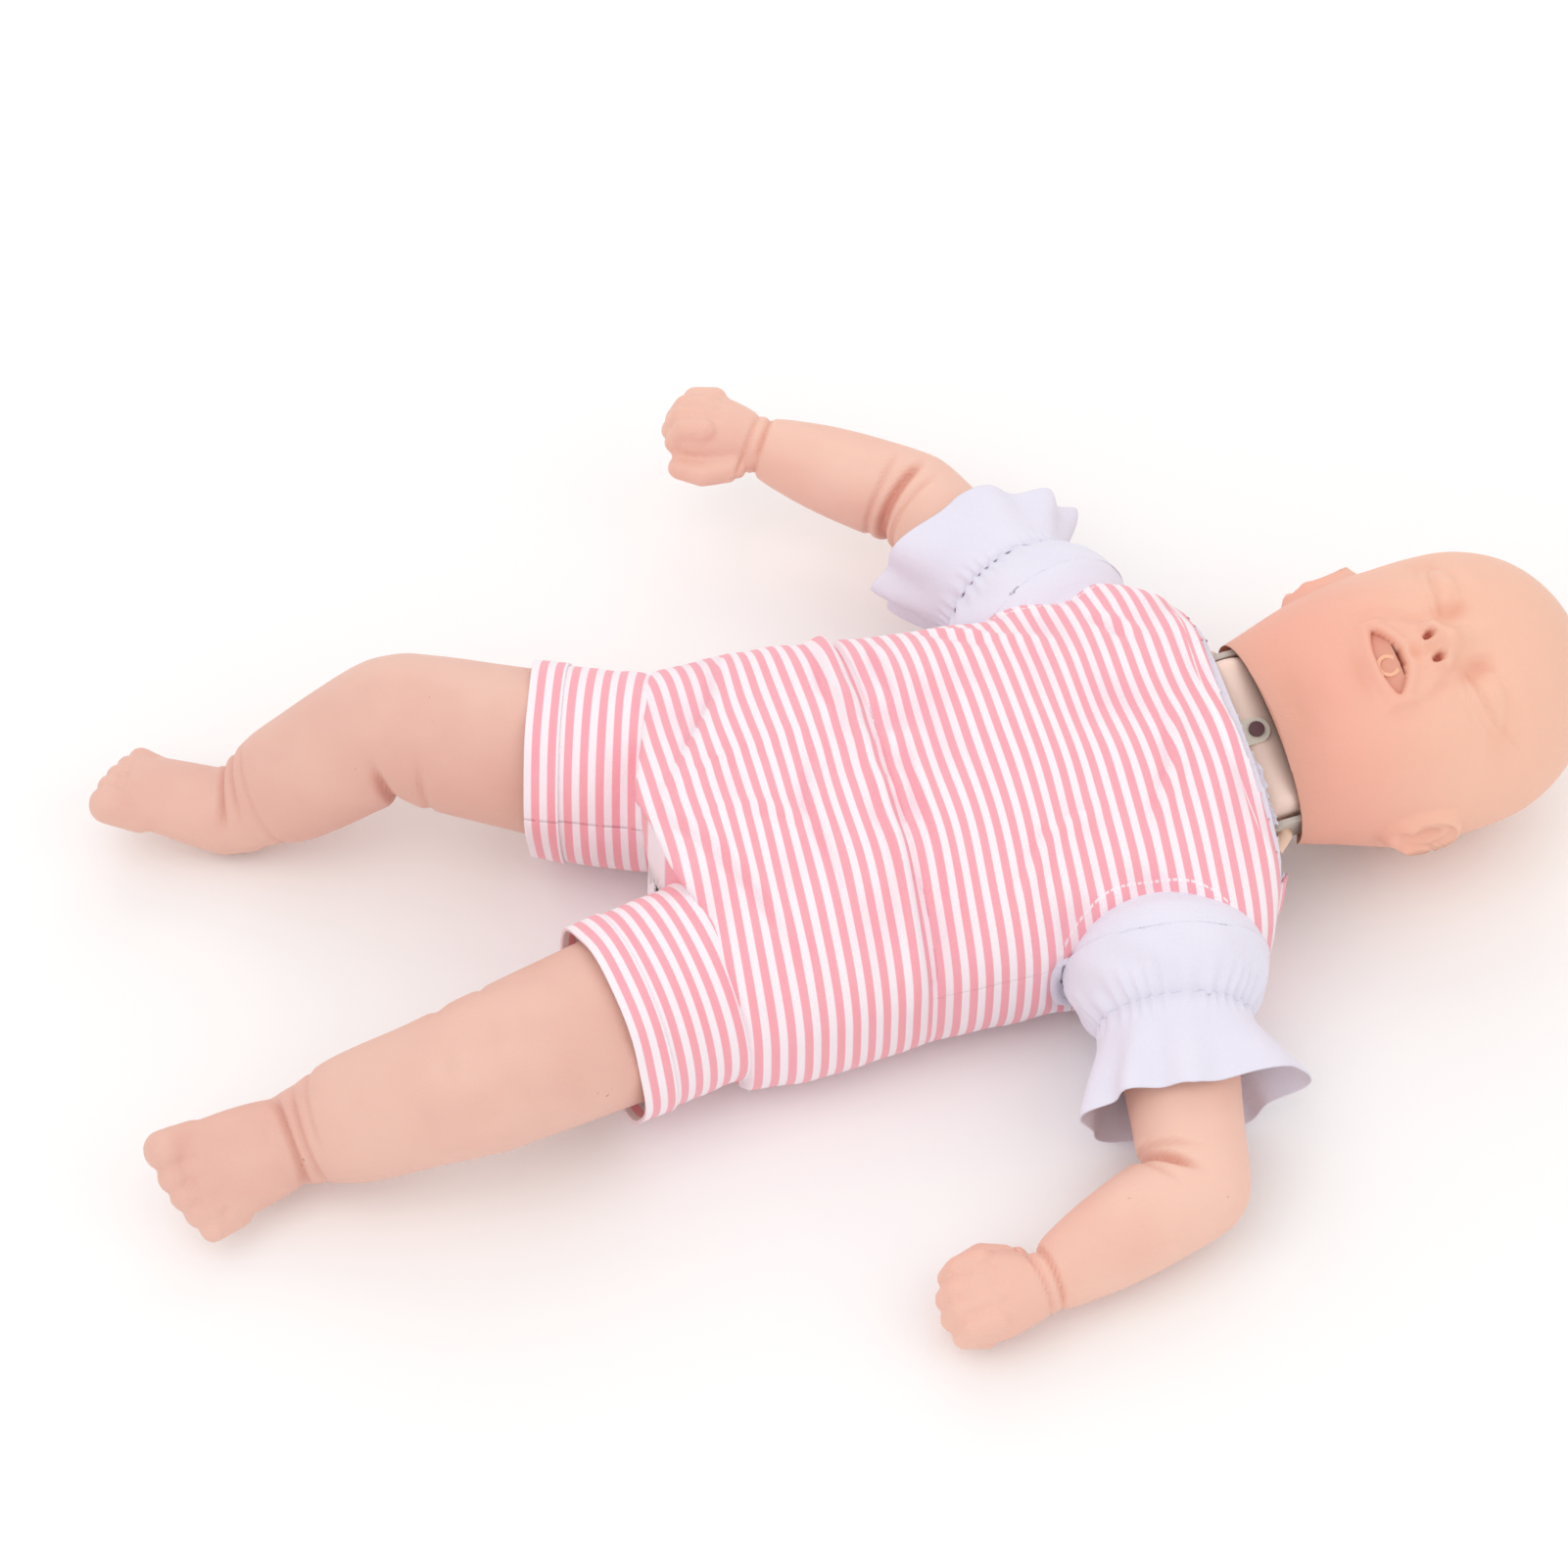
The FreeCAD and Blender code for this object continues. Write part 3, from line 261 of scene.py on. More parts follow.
def grid_piece(name, rows, columns, place, closed=False):
    """A sheet of rows and columns, laid in millimetres by place(along, around)."""
    deselect()
    bpy.ops.mesh.primitive_grid_add(x_subdivisions=rows, y_subdivisions=columns, size=2.0)
    piece = fresh(name)
    flat = points_of(piece)
    put_points(piece, place((flat[:, 0] + 1) / 2, (flat[:, 1] + 1) / 2) * 0.001)
    settle(merge=closed)
    bpy.ops.object.shade_smooth()
    return piece


def paint(piece, name, values):
    """Store one number per point for the material."""
    layer = piece.data.attributes.get(name) or piece.data.attributes.new(name, "FLOAT", "POINT")
    layer.data.foreach_set("value", np.ascontiguousarray(values, dtype=np.float32))


def step(value, low, high):
    part = np.clip((value - low) / (high - low), 0.0, 1.0)
    return part * part * (3.0 - 2.0 * part)


def swell(x, y, x0, y0, wide_x, wide_y):
    return np.exp(-((x - x0) / wide_x) ** 2 - ((y - y0) / wide_y) ** 2)


def beside(x, y, line):
    """Distance of each point from a polyline, and how far along the line it is, 0 to 1."""
    line = np.asarray(line, float)
    best = np.full(len(x), 1e9)
    share = np.zeros(len(x))
    for index in range(len(line) - 1):
        start, run = line[index], line[index + 1] - line[index]
        part = np.clip(((x - start[0]) * run[0] + (y - start[1]) * run[1]) / (run @ run), 0.0, 1.0)
        gap = np.hypot(x - start[0] - part * run[0], y - start[1] - part * run[1])
        nearer = gap < best
        best = np.where(nearer, gap, best)
        share = np.where(nearer, (index + part) / (len(line) - 1), share)
    return best, share


def groove(x, y, line, width, depth):
    gap, share = beside(x, y, line)
    return -depth * np.exp(-(gap / width) ** 2) * np.sin(np.pi * np.clip(share * 0.9 + 0.05, 0, 1)) ** 0.6


HEAD_WALL = 2.4


def head_skin_place(along, around):
    """Points of the plain head form, and 1 for those on its inner wall at the neck."""
    rim = 0.14
    inner = along < rim
    share = np.where(inner, 0.32 * (1 - along / rim), (along - rim) / (1 - rim))
    row = along_stations(share, HEAD_SECTIONS)
    turn = 2 * np.pi * around
    turn = turn - 0.33 * np.sin(2 * turn + np.pi) * 0.5
    x, breadth = row[:, 0], row[:, 1]
    depth = np.where(np.sin(turn) > 0, row[:, 2], row[:, 3])
    thin = np.where(inner, HEAD_WALL * step(along, rim, rim - 0.03), 0.0)
    breadth = np.maximum(breadth - thin, 0.0)
    depth = np.maximum(depth - thin, 0.0)
    spots = np.stack((x, breadth * np.cos(turn), depth * np.sin(turn)), 1)
    nape = step(-spots[:, 2], 2.0, 40.0)
    spots[:, 0] += nape * 20.0 * step(-spots[:, 0], 30.0, 82.0)
    return np.column_stack((spots, inner.astype(float)))


EYE_FOLDS = (
    (((-3.2, 14.5), (-2.2, 18.0), (-1.6, 23.0), (-0.6, 29.0), (1.4, 34.5), (3.5, 39.0)), 0.95, 1.9),
    (((2.0, 13.5), (7.0, 17.0), (9.6, 24.0), (9.8, 31.0), (7.5, 38.0), (4.5, 42.0)), 1.3, 1.0),
    (((-5.0, 12.5), (-6.2, 18.0), (-6.0, 25.0), (-4.0, 33.0), (0.0, 41.0)), 1.0, 0.85),
    (((-8.0, 14.0), (-10.0, 21.0), (-9.5, 29.0), (-6.5, 37.0)), 1.2, 0.55),
    (((4.5, 37.0), (8.0, 44.0), (13.0, 49.0)), 1.2, 0.5))
CHEEK_FOLD = ((-9.5, 12.5), (-14.0, 15.0), (-21.0, 19.5), (-30.0, 23.0), (-39.0, 22.0))
MOUTH_CENTRE = 0.9
MOUTH_HALF_WIDTH = 16.4
MOUTH_DEPTH = 17.0
NOSTRIL_DEPTH = 4.6
deselect()
bpy.ops.mesh.primitive_grid_add(x_subdivisions=210, y_subdivisions=380, size=2.0)
head = fresh("head_moulding")
flat = points_of(head)
laid = head_skin_place((flat[:, 0] + 1) / 2, (flat[:, 1] + 1) / 2)
x, y, z, inner = laid.T
y = y - 0.6
front = step(z, 0.0, 14.0) * (1 - inner)
lift = np.zeros(len(x))
# Brow, sockets and closed lids
for side in (-1, 1):
    w = y * side
    lift += 1.9 * swell(x, w, 16.0, 27.0, 6.0, 17.0)
    lift -= 3.4 * swell(x, w, 1.0, 15.0, 8.0, 6.0)
    lift -= 1.4 * swell(x, w, 3.0, 40.0, 8.0, 8.0)
    lift += 3.6 * swell(x, w, 4.2, 27.5, 6.5, 10.5)
    lift += 1.4 * swell(x, w, -6.0, 28.0, 4.5, 11.0)
    for line, width, depth in EYE_FOLDS:
        lift += groove(x, w, line, width, depth)
    # Cheeks, and the folds from the wings of the nose past the corners of the mouth
    lift += 3.0 * swell(x, w, -26.0, 33.0, 14.0, 13.0)
    lift += 1.6 * swell(x, w, -50.0, 34.0, 15.0, 15.0)
    lift += groove(x, w, CHEEK_FOLD, 2.6, 1.5)
    # Wings of the nose
    lift += 5.2 * swell(x, w, -11.0, 8.8, 4.2, 3.4)
bridge = np.exp(-(y / (4.2 + 2.0 * step(-x, -8.0, 8.0))) ** 2)
profile = np.interp(x, (-19.0, -16.0, -13.5, -9.5, -5.5, -1.0, 5.0, 12.0, 20.0),
                    (0.0, 1.6, 6.0, 9.6, 9.2, 5.6, 2.2, 0.9, 0.0))
lift += profile * bridge
lift += 2.2 * swell(x, y, -8.5, 0.0, 4.5, 5.5)
lift += groove(x, y, ((-15.5, 0.0), (-24.5, 0.0)), 2.0, 1.1)
lift += 1.5 * swell(x, y, -20.5, 5.0, 4.0, 2.4) + 1.5 * swell(x, y, -20.5, -5.0, 4.0, 2.4)
# Chin and the hollow under the lower lip
lift -= 1.8 * swell(x, y, -45.0, 0.0, 4.0, 13.0)
lift += 2.8 * swell(x, y, -57.0, 0.0, 9.0, 13.0)
lift -= 1.2 * swell(x, y, -72.0, 0.0, 7.0, 26.0)
# Open mouth: a lens with pointed corners and a rounded lip all round
across = np.abs(y - MOUTH_CENTRE)
span = np.clip(across / MOUTH_HALF_WIDTH, 0.0, 1.0)
upper_edge = -26.0 - 7.9 * span ** 2.3
lower_edge = -37.6 + 3.7 * span ** 2.2
above_or_below = np.maximum(x - upper_edge, lower_edge - x) * (1 - 0.35 * span)
outside = np.maximum(above_or_below, across - MOUTH_HALF_WIDTH)
lift += 1.9 * np.exp(-((outside - 1.8) / 2.3) ** 2) * step(outside, -1.0, 1.0)
mouth_in = step(-outside, 0.2, 2.3)
drop = MOUTH_DEPTH * mouth_in
for side in (-1, 1):
    nostril = np.hypot((x + 13.3) * 0.95, y - side * 5.0)
    drop = drop + NOSTRIL_DEPTH * step(-nostril, -2.5, -1.0)
far = np.maximum(np.hypot(y, z), 1e-6)
radial = np.stack((np.zeros(len(x)), y / far, z / far), 1)
spots = laid[:, :3] + radial * (lift * front)[:, None]
spots[:, 2] -= drop * front
# Low moulded ears
for side in (-1, 1):
    along_ear = (x + 31.0) + 0.10 * (z - 4.0)
    across_ear = (z - 5.0) - 0.12 * (x + 31.0)
    reach = np.hypot(along_ear / 17.5, across_ear / 10.5)
    rear = 0.5 - 0.5 * np.clip(across_ear / 8.0, -1, 1)
    ear = 3.0 * step(-reach, -1.12, -0.88)
    ear += (1.4 + 4.2 * rear) * np.exp(-((reach - 0.86) / 0.13) ** 2) * step(along_ear, -15.0, -7.0)
    ear += 3.2 * swell(along_ear, across_ear, -13.0, -0.5, 4.5, 4.2)
    ear += 2.4 * np.exp(-((reach - 0.50) / 0.13) ** 2) * step(along_ear, -8.0, 2.0) * (0.4 + 0.6 * rear)
    ear -= 4.4 * swell(along_ear, across_ear, -1.0, 1.2, 8.5, 3.2)
    ear += 2.2 * swell(along_ear, across_ear, -5.5, 6.0, 3.0, 2.4)
    beyond = step(y * side, 30.0, 44.0) * (1 - inner)
    spots[:, 1] += side * ear * beyond * (reach < 1.4)
put_points(head, spots * 0.001)
# Painted shade: the mouth and nostril pits, the inner wall at the neck and the face's sunken grooves and
# sockets carry values that darken their colour.
hollow_shade = np.clip(mouth_in + step(drop, 1.0, 4.0), 0, 1) * front
paint(head, "hollow_shade", np.maximum(hollow_shade, inner * 0.3))
paint(head, "crease_shade", np.clip(-lift * 0.35, 0, 1) * front)
settle()
bpy.ops.object.shade_smooth()
smooth = head.modifiers.new("even_out", "SMOOTH")
smooth.factor = 0.4
smooth.iterations = 2
bpy.ops.object.modifier_apply(modifier="even_out")
head_frame_matrix = Matrix.LocRotScale(HEAD_CENTRE * 0.001, HEAD_TURN.to_quaternion(), Vector((1, 1, 1)))
head.data.transform(head_frame_matrix)
SOFT_VINYL = {"Subsurface_Weight": 0.12, "Subsurface_Radius": (0.006, 0.003, 0.0018),
              "Subsurface_Scale": 0.6}
head_vinyl = Look("head_vinyl")
hx = head_vinyl.axes()[0]
warm = head_vinyl.noise(14.0, 2.0)
cheek = head_vinyl.between(hx * -1.0, -0.275, -0.205) * (0.55 + 0.6 * warm)
skin = head_vinyl.blend(cheek, colour(244, 192, 168), colour(241, 172, 152))
skin = head_vinyl.blend(head_vinyl.between(hx, 0.285, 0.345) * 0.6, skin, colour(238, 194, 170))
# Painted shade: creases turn a deeper red, and the mouth, nostrils and neck opening a dark red-brown.
skin = head_vinyl.blend(head_vinyl.painted("crease_shade") * 0.5, skin, colour(226, 150, 124))
skin = head_vinyl.blend(head_vinyl.painted("hollow_shade"), skin, colour(186, 96, 74))
head_vinyl.set(Base_Color=skin, Roughness=0.44 + 0.1 * head_vinyl.noise(60.0), **SOFT_VINYL)
head_vinyl.bump(head_vinyl.noise(900.0, 3.0) + 2.0 * head_vinyl.noise(90.0, 2.0), 0.00012)
head.data.materials.append(head_vinyl.material)
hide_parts("head_skin")
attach(head, "head")


# Each leg is one soft vinyl moulding with a bent knee, a flexed foot and five short toes side by
# side. Its neck snaps into the torso at the hip and turns there.
def limb_frame(root, azimuth, elevation, roll):
    """Local x along the root axis and local z to the limb's front."""
    azimuth, elevation = math.radians(azimuth), math.radians(elevation)
    along = Vector((math.cos(elevation) * math.cos(azimuth), math.cos(elevation) * math.sin(azimuth),
                    math.sin(elevation)))
    up = (Vector((0, 0, 1)) - along * along.z).normalized()
    front = Matrix.Rotation(math.radians(roll), 3, along) @ up
    turn = Matrix((along, front.cross(along), front)).transposed()
    return Matrix.LocRotScale(Vector(root) * 0.001, turn.to_quaternion(), Vector((1, 1, 1)))


HIP_FRAMES = {"right": limb_frame((-62, 57, 48), 164.0, -1.1, 15.0),
              "left": limb_frame((-62, -57, 48), -167.6, -1.3, -40.0)}


def walk(x, z, angle, distance):
    return x + distance * math.cos(math.radians(angle)), z + distance * math.sin(math.radians(angle))


def flesh_tube(name, stations, start, stop, rows, columns):
    """A round-ended tube through stations of x, y, z, lean, half width and half depth."""
    table = []
    for share in (0.0, 30.0, 60.0):
        x, y, z, lean, wide, deep = stations[0]
        back_x, back_z = walk(x, z, lean, -start * math.cos(math.radians(share)))
        size = math.sin(math.radians(share))
        table.append((back_x, y, back_z, lean, wide * size, deep * size))
    table.extend(stations)
    for share in (60.0, 30.0, 0.0):
        x, y, z, lean, wide, deep = stations[-1]
        on_x, on_z = walk(x, z, lean, stop * math.cos(math.radians(share)))
        size = math.sin(math.radians(share))
        table.append((on_x, y, on_z, lean, wide * size, deep * size))

    def place(along, around):
        row = along_stations(along, table)
        lean, turn = np.radians(row[:, 3]), 2 * np.pi * around
        depth = row[:, 5] * np.sin(turn)
        return np.stack((row[:, 0] - depth * np.sin(lean), row[:, 1] + row[:, 4] * np.cos(turn),
                         row[:, 2] + depth * np.cos(lean)), 1)

    return grid_piece(name, rows, columns, place, closed=True)


def bead_chain(name, path):
    """Overlapping balls along a path of x, y, z and radius, for the remesh to melt together."""
    beads = []
    path = np.asarray(path, float)
    for start, stop in zip(path[:-1], path[1:]):
        count = max(2, int(np.linalg.norm(stop[:3] - start[:3]) / 1.6))
        for share in np.linspace(0, 1, count):
            x, y, z, radius = (start + (stop - start) * share) * 0.001
            deselect()
            bpy.ops.mesh.primitive_uv_sphere_add(segments=16, ring_count=10, radius=radius,
                                                 location=(x, y, z))
            bpy.ops.object.transform_apply(location=True, rotation=False, scale=False)
            beads.append(bpy.context.active_object)
    return melt(name, beads)


def melt(name, pieces):
    """Join pieces into one object."""
    deselect()
    for piece in pieces:
        piece.select_set(True)
    bpy.context.view_layer.objects.active = pieces[0]
    if len(pieces) > 1:
        bpy.ops.object.join()
    return fresh(name)


def apply(piece, kind, name, **settings):
    """Add a modifier and apply it."""
    deselect()
    piece.select_set(True)
    bpy.context.view_layer.objects.active = piece
    modifier = piece.modifiers.new(name, kind)
    for key, value in settings.items():
        setattr(modifier, key, value)
    bpy.ops.object.modifier_apply(modifier=name)


def skin_over(name, pieces, voxel, rounds):
    """One closed skin over joined pieces."""
    piece = melt(name, pieces)
    apply(piece, "REMESH", "melt", mode="VOXEL", voxel_size=voxel * 0.001)
    apply(piece, "SMOOTH", "soften", factor=0.5, iterations=rounds)
    return piece


def normals_of(piece):
    facing = np.empty(len(piece.data.vertices) * 3)
    piece.data.vertices.foreach_get("normal", facing)
    return facing.reshape(-1, 3)


def fold_at(spots, facing, point, lean, toward, width, depth):
    """A fold where the plane through point cuts the side of a limb that faces toward."""
    across = np.array((math.cos(math.radians(lean)), 0.0, math.sin(math.radians(lean))))
    gap = (spots - np.array(point)) @ across
    toward = np.array(toward) / np.linalg.norm(toward)
    return depth * np.exp(-(gap / width) ** 2) * step(facing @ toward, -0.25, 0.45)


def press_in(piece, folds, dents):
    """Sink folds and round dents into a skin, and paint the folds' depth as painted shade for the material.
    """
    spots, facing = points_of(piece) * 1000.0, normals_of(piece)
    depth = np.zeros(len(spots))
    for fold in folds:
        depth += fold_at(spots, facing, *fold)
    paint(piece, "crease_shade", np.clip(depth * 0.3, 0, 1))
    for point, radius, deep in dents:
        depth += deep * np.exp(-(np.linalg.norm(spots - np.array(point), axis=1) / radius) ** 2)
    put_points(piece, (spots - facing * depth[:, None]) * 0.001)


def limb_vinyl(name, main, deep, blush):
    """Soft matt vinyl: cloudy colour, painted shade in the folds, fine grain and a few dark specks."""
    look = Look(name)
    cloud = look.noise(16.0, 3.0)
    skin = look.blend(look.between(cloud, 0.35, 0.7), main, blush)
    # Painted shade: the creases darken towards the deep colour.
    skin = look.blend(look.between(look.painted("crease_shade"), 0.0, 0.9) * 0.7, skin, deep)
    speck = look.between(look.noise(330.0, 1.0), 0.765, 0.80)
    speck = speck * look.between(look.noise(37.0, 1.0), 0.55, 0.7)
    skin = look.blend(speck * 0.55, skin, colour(140, 100, 88))
    look.set(Base_Color=skin, Roughness=0.46 + 0.12 * look.noise(55.0), **SOFT_VINYL)
    look.bump(look.noise(1100.0, 2.0) + 1.6 * look.noise(120.0, 2.0), 0.00010)
    return look


def place_limb(limb, root, side, look):
    """Bring a finished limb to its root, mirrored on the left, and give it its vinyl."""
    mirror = Matrix.Scale(-1 if side == "left" else 1, 4, (0, 1, 0))
    limb.data.transform(root @ mirror)
    if side == "left":
        limb.data.flip_normals()
    limb.data.materials.append(look.material)


THIGH_LEAN, SHIN_LEAN, FOOT_LEAN = 11.3, -33.3, 16.6
THIGH_LENGTH, SHIN_LENGTH = 115.5, 84.5
# The second colour is the painted shade in the legs' creases.
leg_vinyl = limb_vinyl("leg_vinyl", colour(234, 190, 174), colour(212, 150, 134), colour(229, 180, 165))
knee = walk(0, 0, THIGH_LEAN, THIGH_LENGTH)
ankle = walk(knee[0], knee[1], SHIN_LEAN, SHIN_LENGTH)
for side in ("right", "left"):
    rows = [(0.0, 0.0, 0.0, 0.0, 35.5, 35.5)]
    for share, lean, radius in ((0.3, 10.2, 36.0), (0.6, 6.8, 34.5), (0.85, 4.0, 33.0)):
        x, z = walk(0, 0, THIGH_LEAN, THIGH_LENGTH * share)
        rows.append((x, 0.0, z, lean, radius, radius))
    rows.append((knee[0], 0.0, knee[1] - 1.5, -11.0, 32.0, 31.0))
    for share, radius in ((0.25, 29.5), (0.5, 28.0), (0.7, 26.0), (0.88, 21.5)):
        x, z = walk(knee[0], knee[1], SHIN_LEAN, SHIN_LENGTH * share)
        rows.append((x, 0.0, z - 1.5 * math.sin(math.pi * share), SHIN_LEAN, radius, radius))
    rows.append((ankle[0], 0.0, ankle[1], SHIN_LEAN + 6.0, 19.5, 19.5))
    pieces = [flesh_tube("thigh_and_shin", rows, 6.0, 17.0, 140, 72)]
    rows = []
    for distance, wide, deep in ((-6.0, 16.0, 15.0), (6.0, 19.5, 17.5), (20.0, 21.5, 15.0),
                                 (34.0, 22.3, 12.0), (46.0, 22.6, 9.0)):
        x, z = walk(ankle[0], ankle[1] - 3.0, FOOT_LEAN, distance)
        rows.append((x, 0.0, z, FOOT_LEAN, wide, deep))
    pieces.append(flesh_tube("foot", rows, 13.0, 5.0, 60, 56))
    pieces.append(bead_chain("heel", ((ankle[0] - 1.0, 0, ankle[1] - 1.0, 18.6),
                                      (ankle[0] + 5.0, 0, ankle[1] - 4.0, 17.0))))
    across = 16.4
    for radius, reach in ((8.6, 0.5), (6.6, 1.0), (6.3, -1.0), (6.0, -3.8), (5.8, -7.6)):
        base = walk(ankle[0], ankle[1] - 4.0, FOOT_LEAN, 40.0 + reach)
        tip = walk(base[0], base[1], FOOT_LEAN + 4.0, 14.0)
        pieces.append(bead_chain("toe", ((base[0], across, base[1] - 1.0, radius - 1.2),
                                         (tip[0], across, tip[1], radius))))
        across -= radius * 1.36
    leg = skin_over("leg_skin_" + side, pieces, 1.35, 6)
    back_side, front_side = (0.1, 0, -1), (-0.1, 0, 1)
    folds = [((knee[0] + 4.0, 0, knee[1]), -14.0, back_side, 2.6, 3.6),
             ((knee[0] - 16.0, 0, knee[1]), -3.0, (0, 0.2, -1), 2.0, 1.2),
             ((ankle[0] + 1.0, 0, ankle[1]), -10.0, front_side, 1.9, 2.4),
             ((ankle[0] - 8.0, 0, ankle[1] + 4.0), -20.0, front_side, 1.7, 1.5),
             ((ankle[0] - 16.0, 0, ankle[1] + 8.0), -26.0, (0, 1, 0.3), 1.7, 0.9)]
    dents = [((knee[0] - 12.0, 13.0, knee[1] + 29.0), 5.0, 1.5),
             ((knee[0] + 14.0, 11.0, knee[1] + 25.0), 5.5, 1.6),
             ((knee[0] + 2.0, -15.0, knee[1] + 27.0), 5.0, 1.2)]
    for index, across in enumerate((9.2, 0.4, -8.0, -16.0)):
        spot = walk(ankle[0], ankle[1] - 4.0, FOOT_LEAN, 44.0 - index * 1.6)
        dents.append(((spot[0], across, spot[1] + 8.0), 2.6, 1.3))
    press_in(leg, folds, dents)
    place_limb(leg, HIP_FRAMES[side], side, leg_vinyl)
    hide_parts("leg_" + side)
    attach(leg, side + "_leg")


# Each arm is one soft vinyl moulding with a bent elbow, creased wrist and a loosely closed fist.
# Its neck snaps into the torso at the shoulder.
ARM_FRAMES = {"right": limb_frame((122, 95, 50), 110.4, -0.8, 104.8),
              "left": limb_frame((122, -95, 50), -98.1, -12.6, -92.5)}
ARM_BENDS = {"right": (38.8, 3.5), "left": (60.7, 18.1)}
UPPER_ARM_LENGTH, FOREARM_LENGTH, PALM_LENGTH = 99.0, 77.0, 40.0
FINGER_REACHES = (0.0, 2.0, 1.6, -1.5)


def hand_path(wrist, lean, stations):
    """Beads on a hand, from rows of reach, across, height and radius."""
    path = []
    for reach, across, height, radius in stations:
        x, z = walk(*walk(wrist[0], wrist[1], lean, reach), 90.0 + lean, across)
        path.append((x, height, z, radius))
    return path


# The second colour is the painted shade in the arms' creases.
arm_vinyl = limb_vinyl("arm_vinyl", colour(242, 198, 180), colour(218, 150, 132), colour(238, 188, 170))
for side in ("right", "left"):
    bend, wrist_bend = ARM_BENDS[side]
    elbow = (UPPER_ARM_LENGTH, 0.0)
    wrist = walk(elbow[0], elbow[1], -bend, FOREARM_LENGTH)
    hand_lean = -bend - wrist_bend
    rows = [(x, 0.0, 0.0, 0.0, radius, radius)
            for x, radius in ((0.0, 23.5), (40.0, 24.5), (72.0, 23.0), (UPPER_ARM_LENGTH, 22.0))]
    pieces = [flesh_tube("upper_arm", rows, 5.0, 21.0, 90, 60)]
    rows = []
    for share, radius in ((0.0, 22.0), (0.3, 21.5), (0.6, 19.5), (0.85, 16.0)):
        x, z = walk(elbow[0], elbow[1], -bend, FOREARM_LENGTH * share)
        rows.append((x, 0.0, z, -bend, radius, radius))
    rows.append((wrist[0], 0.0, wrist[1], -bend - wrist_bend / 2, 13.6, 12.8))
    for share, wide, deep in ((0.28, 14.2, 16.5), (0.5, 14.4, 18.6), (0.72, 13.0, 18.6)):
        x, z = walk(wrist[0], wrist[1], hand_lean, PALM_LENGTH * share)
        rows.append((x, 0.5, z, hand_lean, wide, deep))
    pieces.append(flesh_tube("forearm_and_palm", rows, 20.0, 8.0, 110, 60))
    dents = []
    for index, reach in enumerate(FINGER_REACHES):
        across = 12.8 - index * 8.5
        radius = 5.5 if index in (1, 2) else 5.0
        pieces.append(bead_chain("finger", hand_path(wrist, hand_lean, (
            (25.0 + reach, across, 8.2, radius + 0.8), (34.0 + reach, across, 5.4, radius + 0.4),
            (37.0 + reach, across, -3.0, radius), (27.0 + reach, across, -10.5, radius - 0.4)))))
        if index:
            gap = hand_path(wrist, hand_lean, ((21.0, across + 4.2, 14.5, 0.0),))[0]
            dents.append((gap[:3], 3.0, 1.0))
    pieces.append(bead_chain("thumb", hand_path(wrist, hand_lean, (
        (8.0, -13.5, -6.0, 7.4), (19.0, -20.0, -9.5, 6.3), (30.0, -18.0, -12.0, 5.6)))))
    arm = skin_over("arm_skin_" + side, pieces, 1.2, 5)
    inner = (-math.sin(math.radians(bend / 2)), 0, -math.cos(math.radians(bend / 2)))
    folds = [((elbow[0] + 2.0, 0, 0), -bend / 2, inner, 2.0, 3.2),
             ((elbow[0] - 9.0, 0, 0), -bend / 4, inner, 1.7, 1.3),
             ((elbow[0] + 12.0, 0, -6.0), -bend * 0.8, inner, 1.7, 1.2)]
    for offset, depth in ((-2.5, 1.7), (3.0, 1.2)):
        spot = walk(wrist[0], wrist[1], hand_lean, offset)
        for toward in ((0, 1, 0), (0, -1, 0)):
            folds.append(((spot[0], 0, spot[1]), hand_lean + wrist_bend / 2, toward, 1.3, depth))
    press_in(arm, folds, dents)
    place_limb(arm, ARM_FRAMES[side], side, arm_vinyl)
    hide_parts("arm_" + side)
    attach(arm, side + "_arm")


# The romper is striped cotton jersey: a back and seat panel, a bib front, and two short legs with
# turned-up hems. It lies over the shirt and is sewn along the flanks.
TORSO_X = np.array((-106.0, -104.0, -98.0, -86.0, -62.0, -25.0, 22.0, 65.0, 108.0, 148.0, 168.0, 184.0))
TORSO_ROWS = np.array((
    (1.0, 48.0, 46.0), (40.0, 70.0, 24.0), (74.0, 86.0, 10.0), (88.0, 91.0, 3.5), (100.5, 99.0, 0.0),
    (102.0, 104.0, 0.0), (96.0, 105.0, 0.0), (92.0, 105.0, 0.0), (98.0, 104.0, 0.0), (104.0, 102.0, 0.0),
    (92.0, 100.0, 4.0), (66.0, 97.0, 12.0)))
FRONT_POWER, BACK_POWER = 2.3, 3.2
DROP = (1.0 - 0.5 ** BACK_POWER) ** (1.0 / BACK_POWER)


def torso_place(x, around, inset):
    """Points on the dressed torso at x, around it from the right flank over the front."""
    row = along_stations(np.interp(x, TORSO_X, np.arange(len(TORSO_X))) / (len(TORSO_X) - 1), TORSO_ROWS)
    width, top, bottom = row[:, 0] - inset, row[:, 1] - inset, np.maximum(row[:, 2], 0.0) + inset
    half = (top - bottom) / (1.0 + DROP)
    middle = bottom + DROP * half
    turn = 2 * np.pi * around
    power = np.where(np.sin(turn) > 0, FRONT_POWER, BACK_POWER)
    y = width * np.sign(np.cos(turn)) * np.abs(np.cos(turn)) ** (2 / power)
    z = middle + half * np.sign(np.sin(turn)) * np.abs(np.sin(turn)) ** (2 / power)
    return np.stack((x, y, np.maximum(z, bottom)), 1)


def about_axis(spots, limb):
    """Points in a limb's own frame, and the frame's turn and origin to bring them back."""
    turn, origin = np.array(limb.to_3x3()), np.array(limb.translation) * 1000.0
    return (spots - origin) @ turn, turn, origin


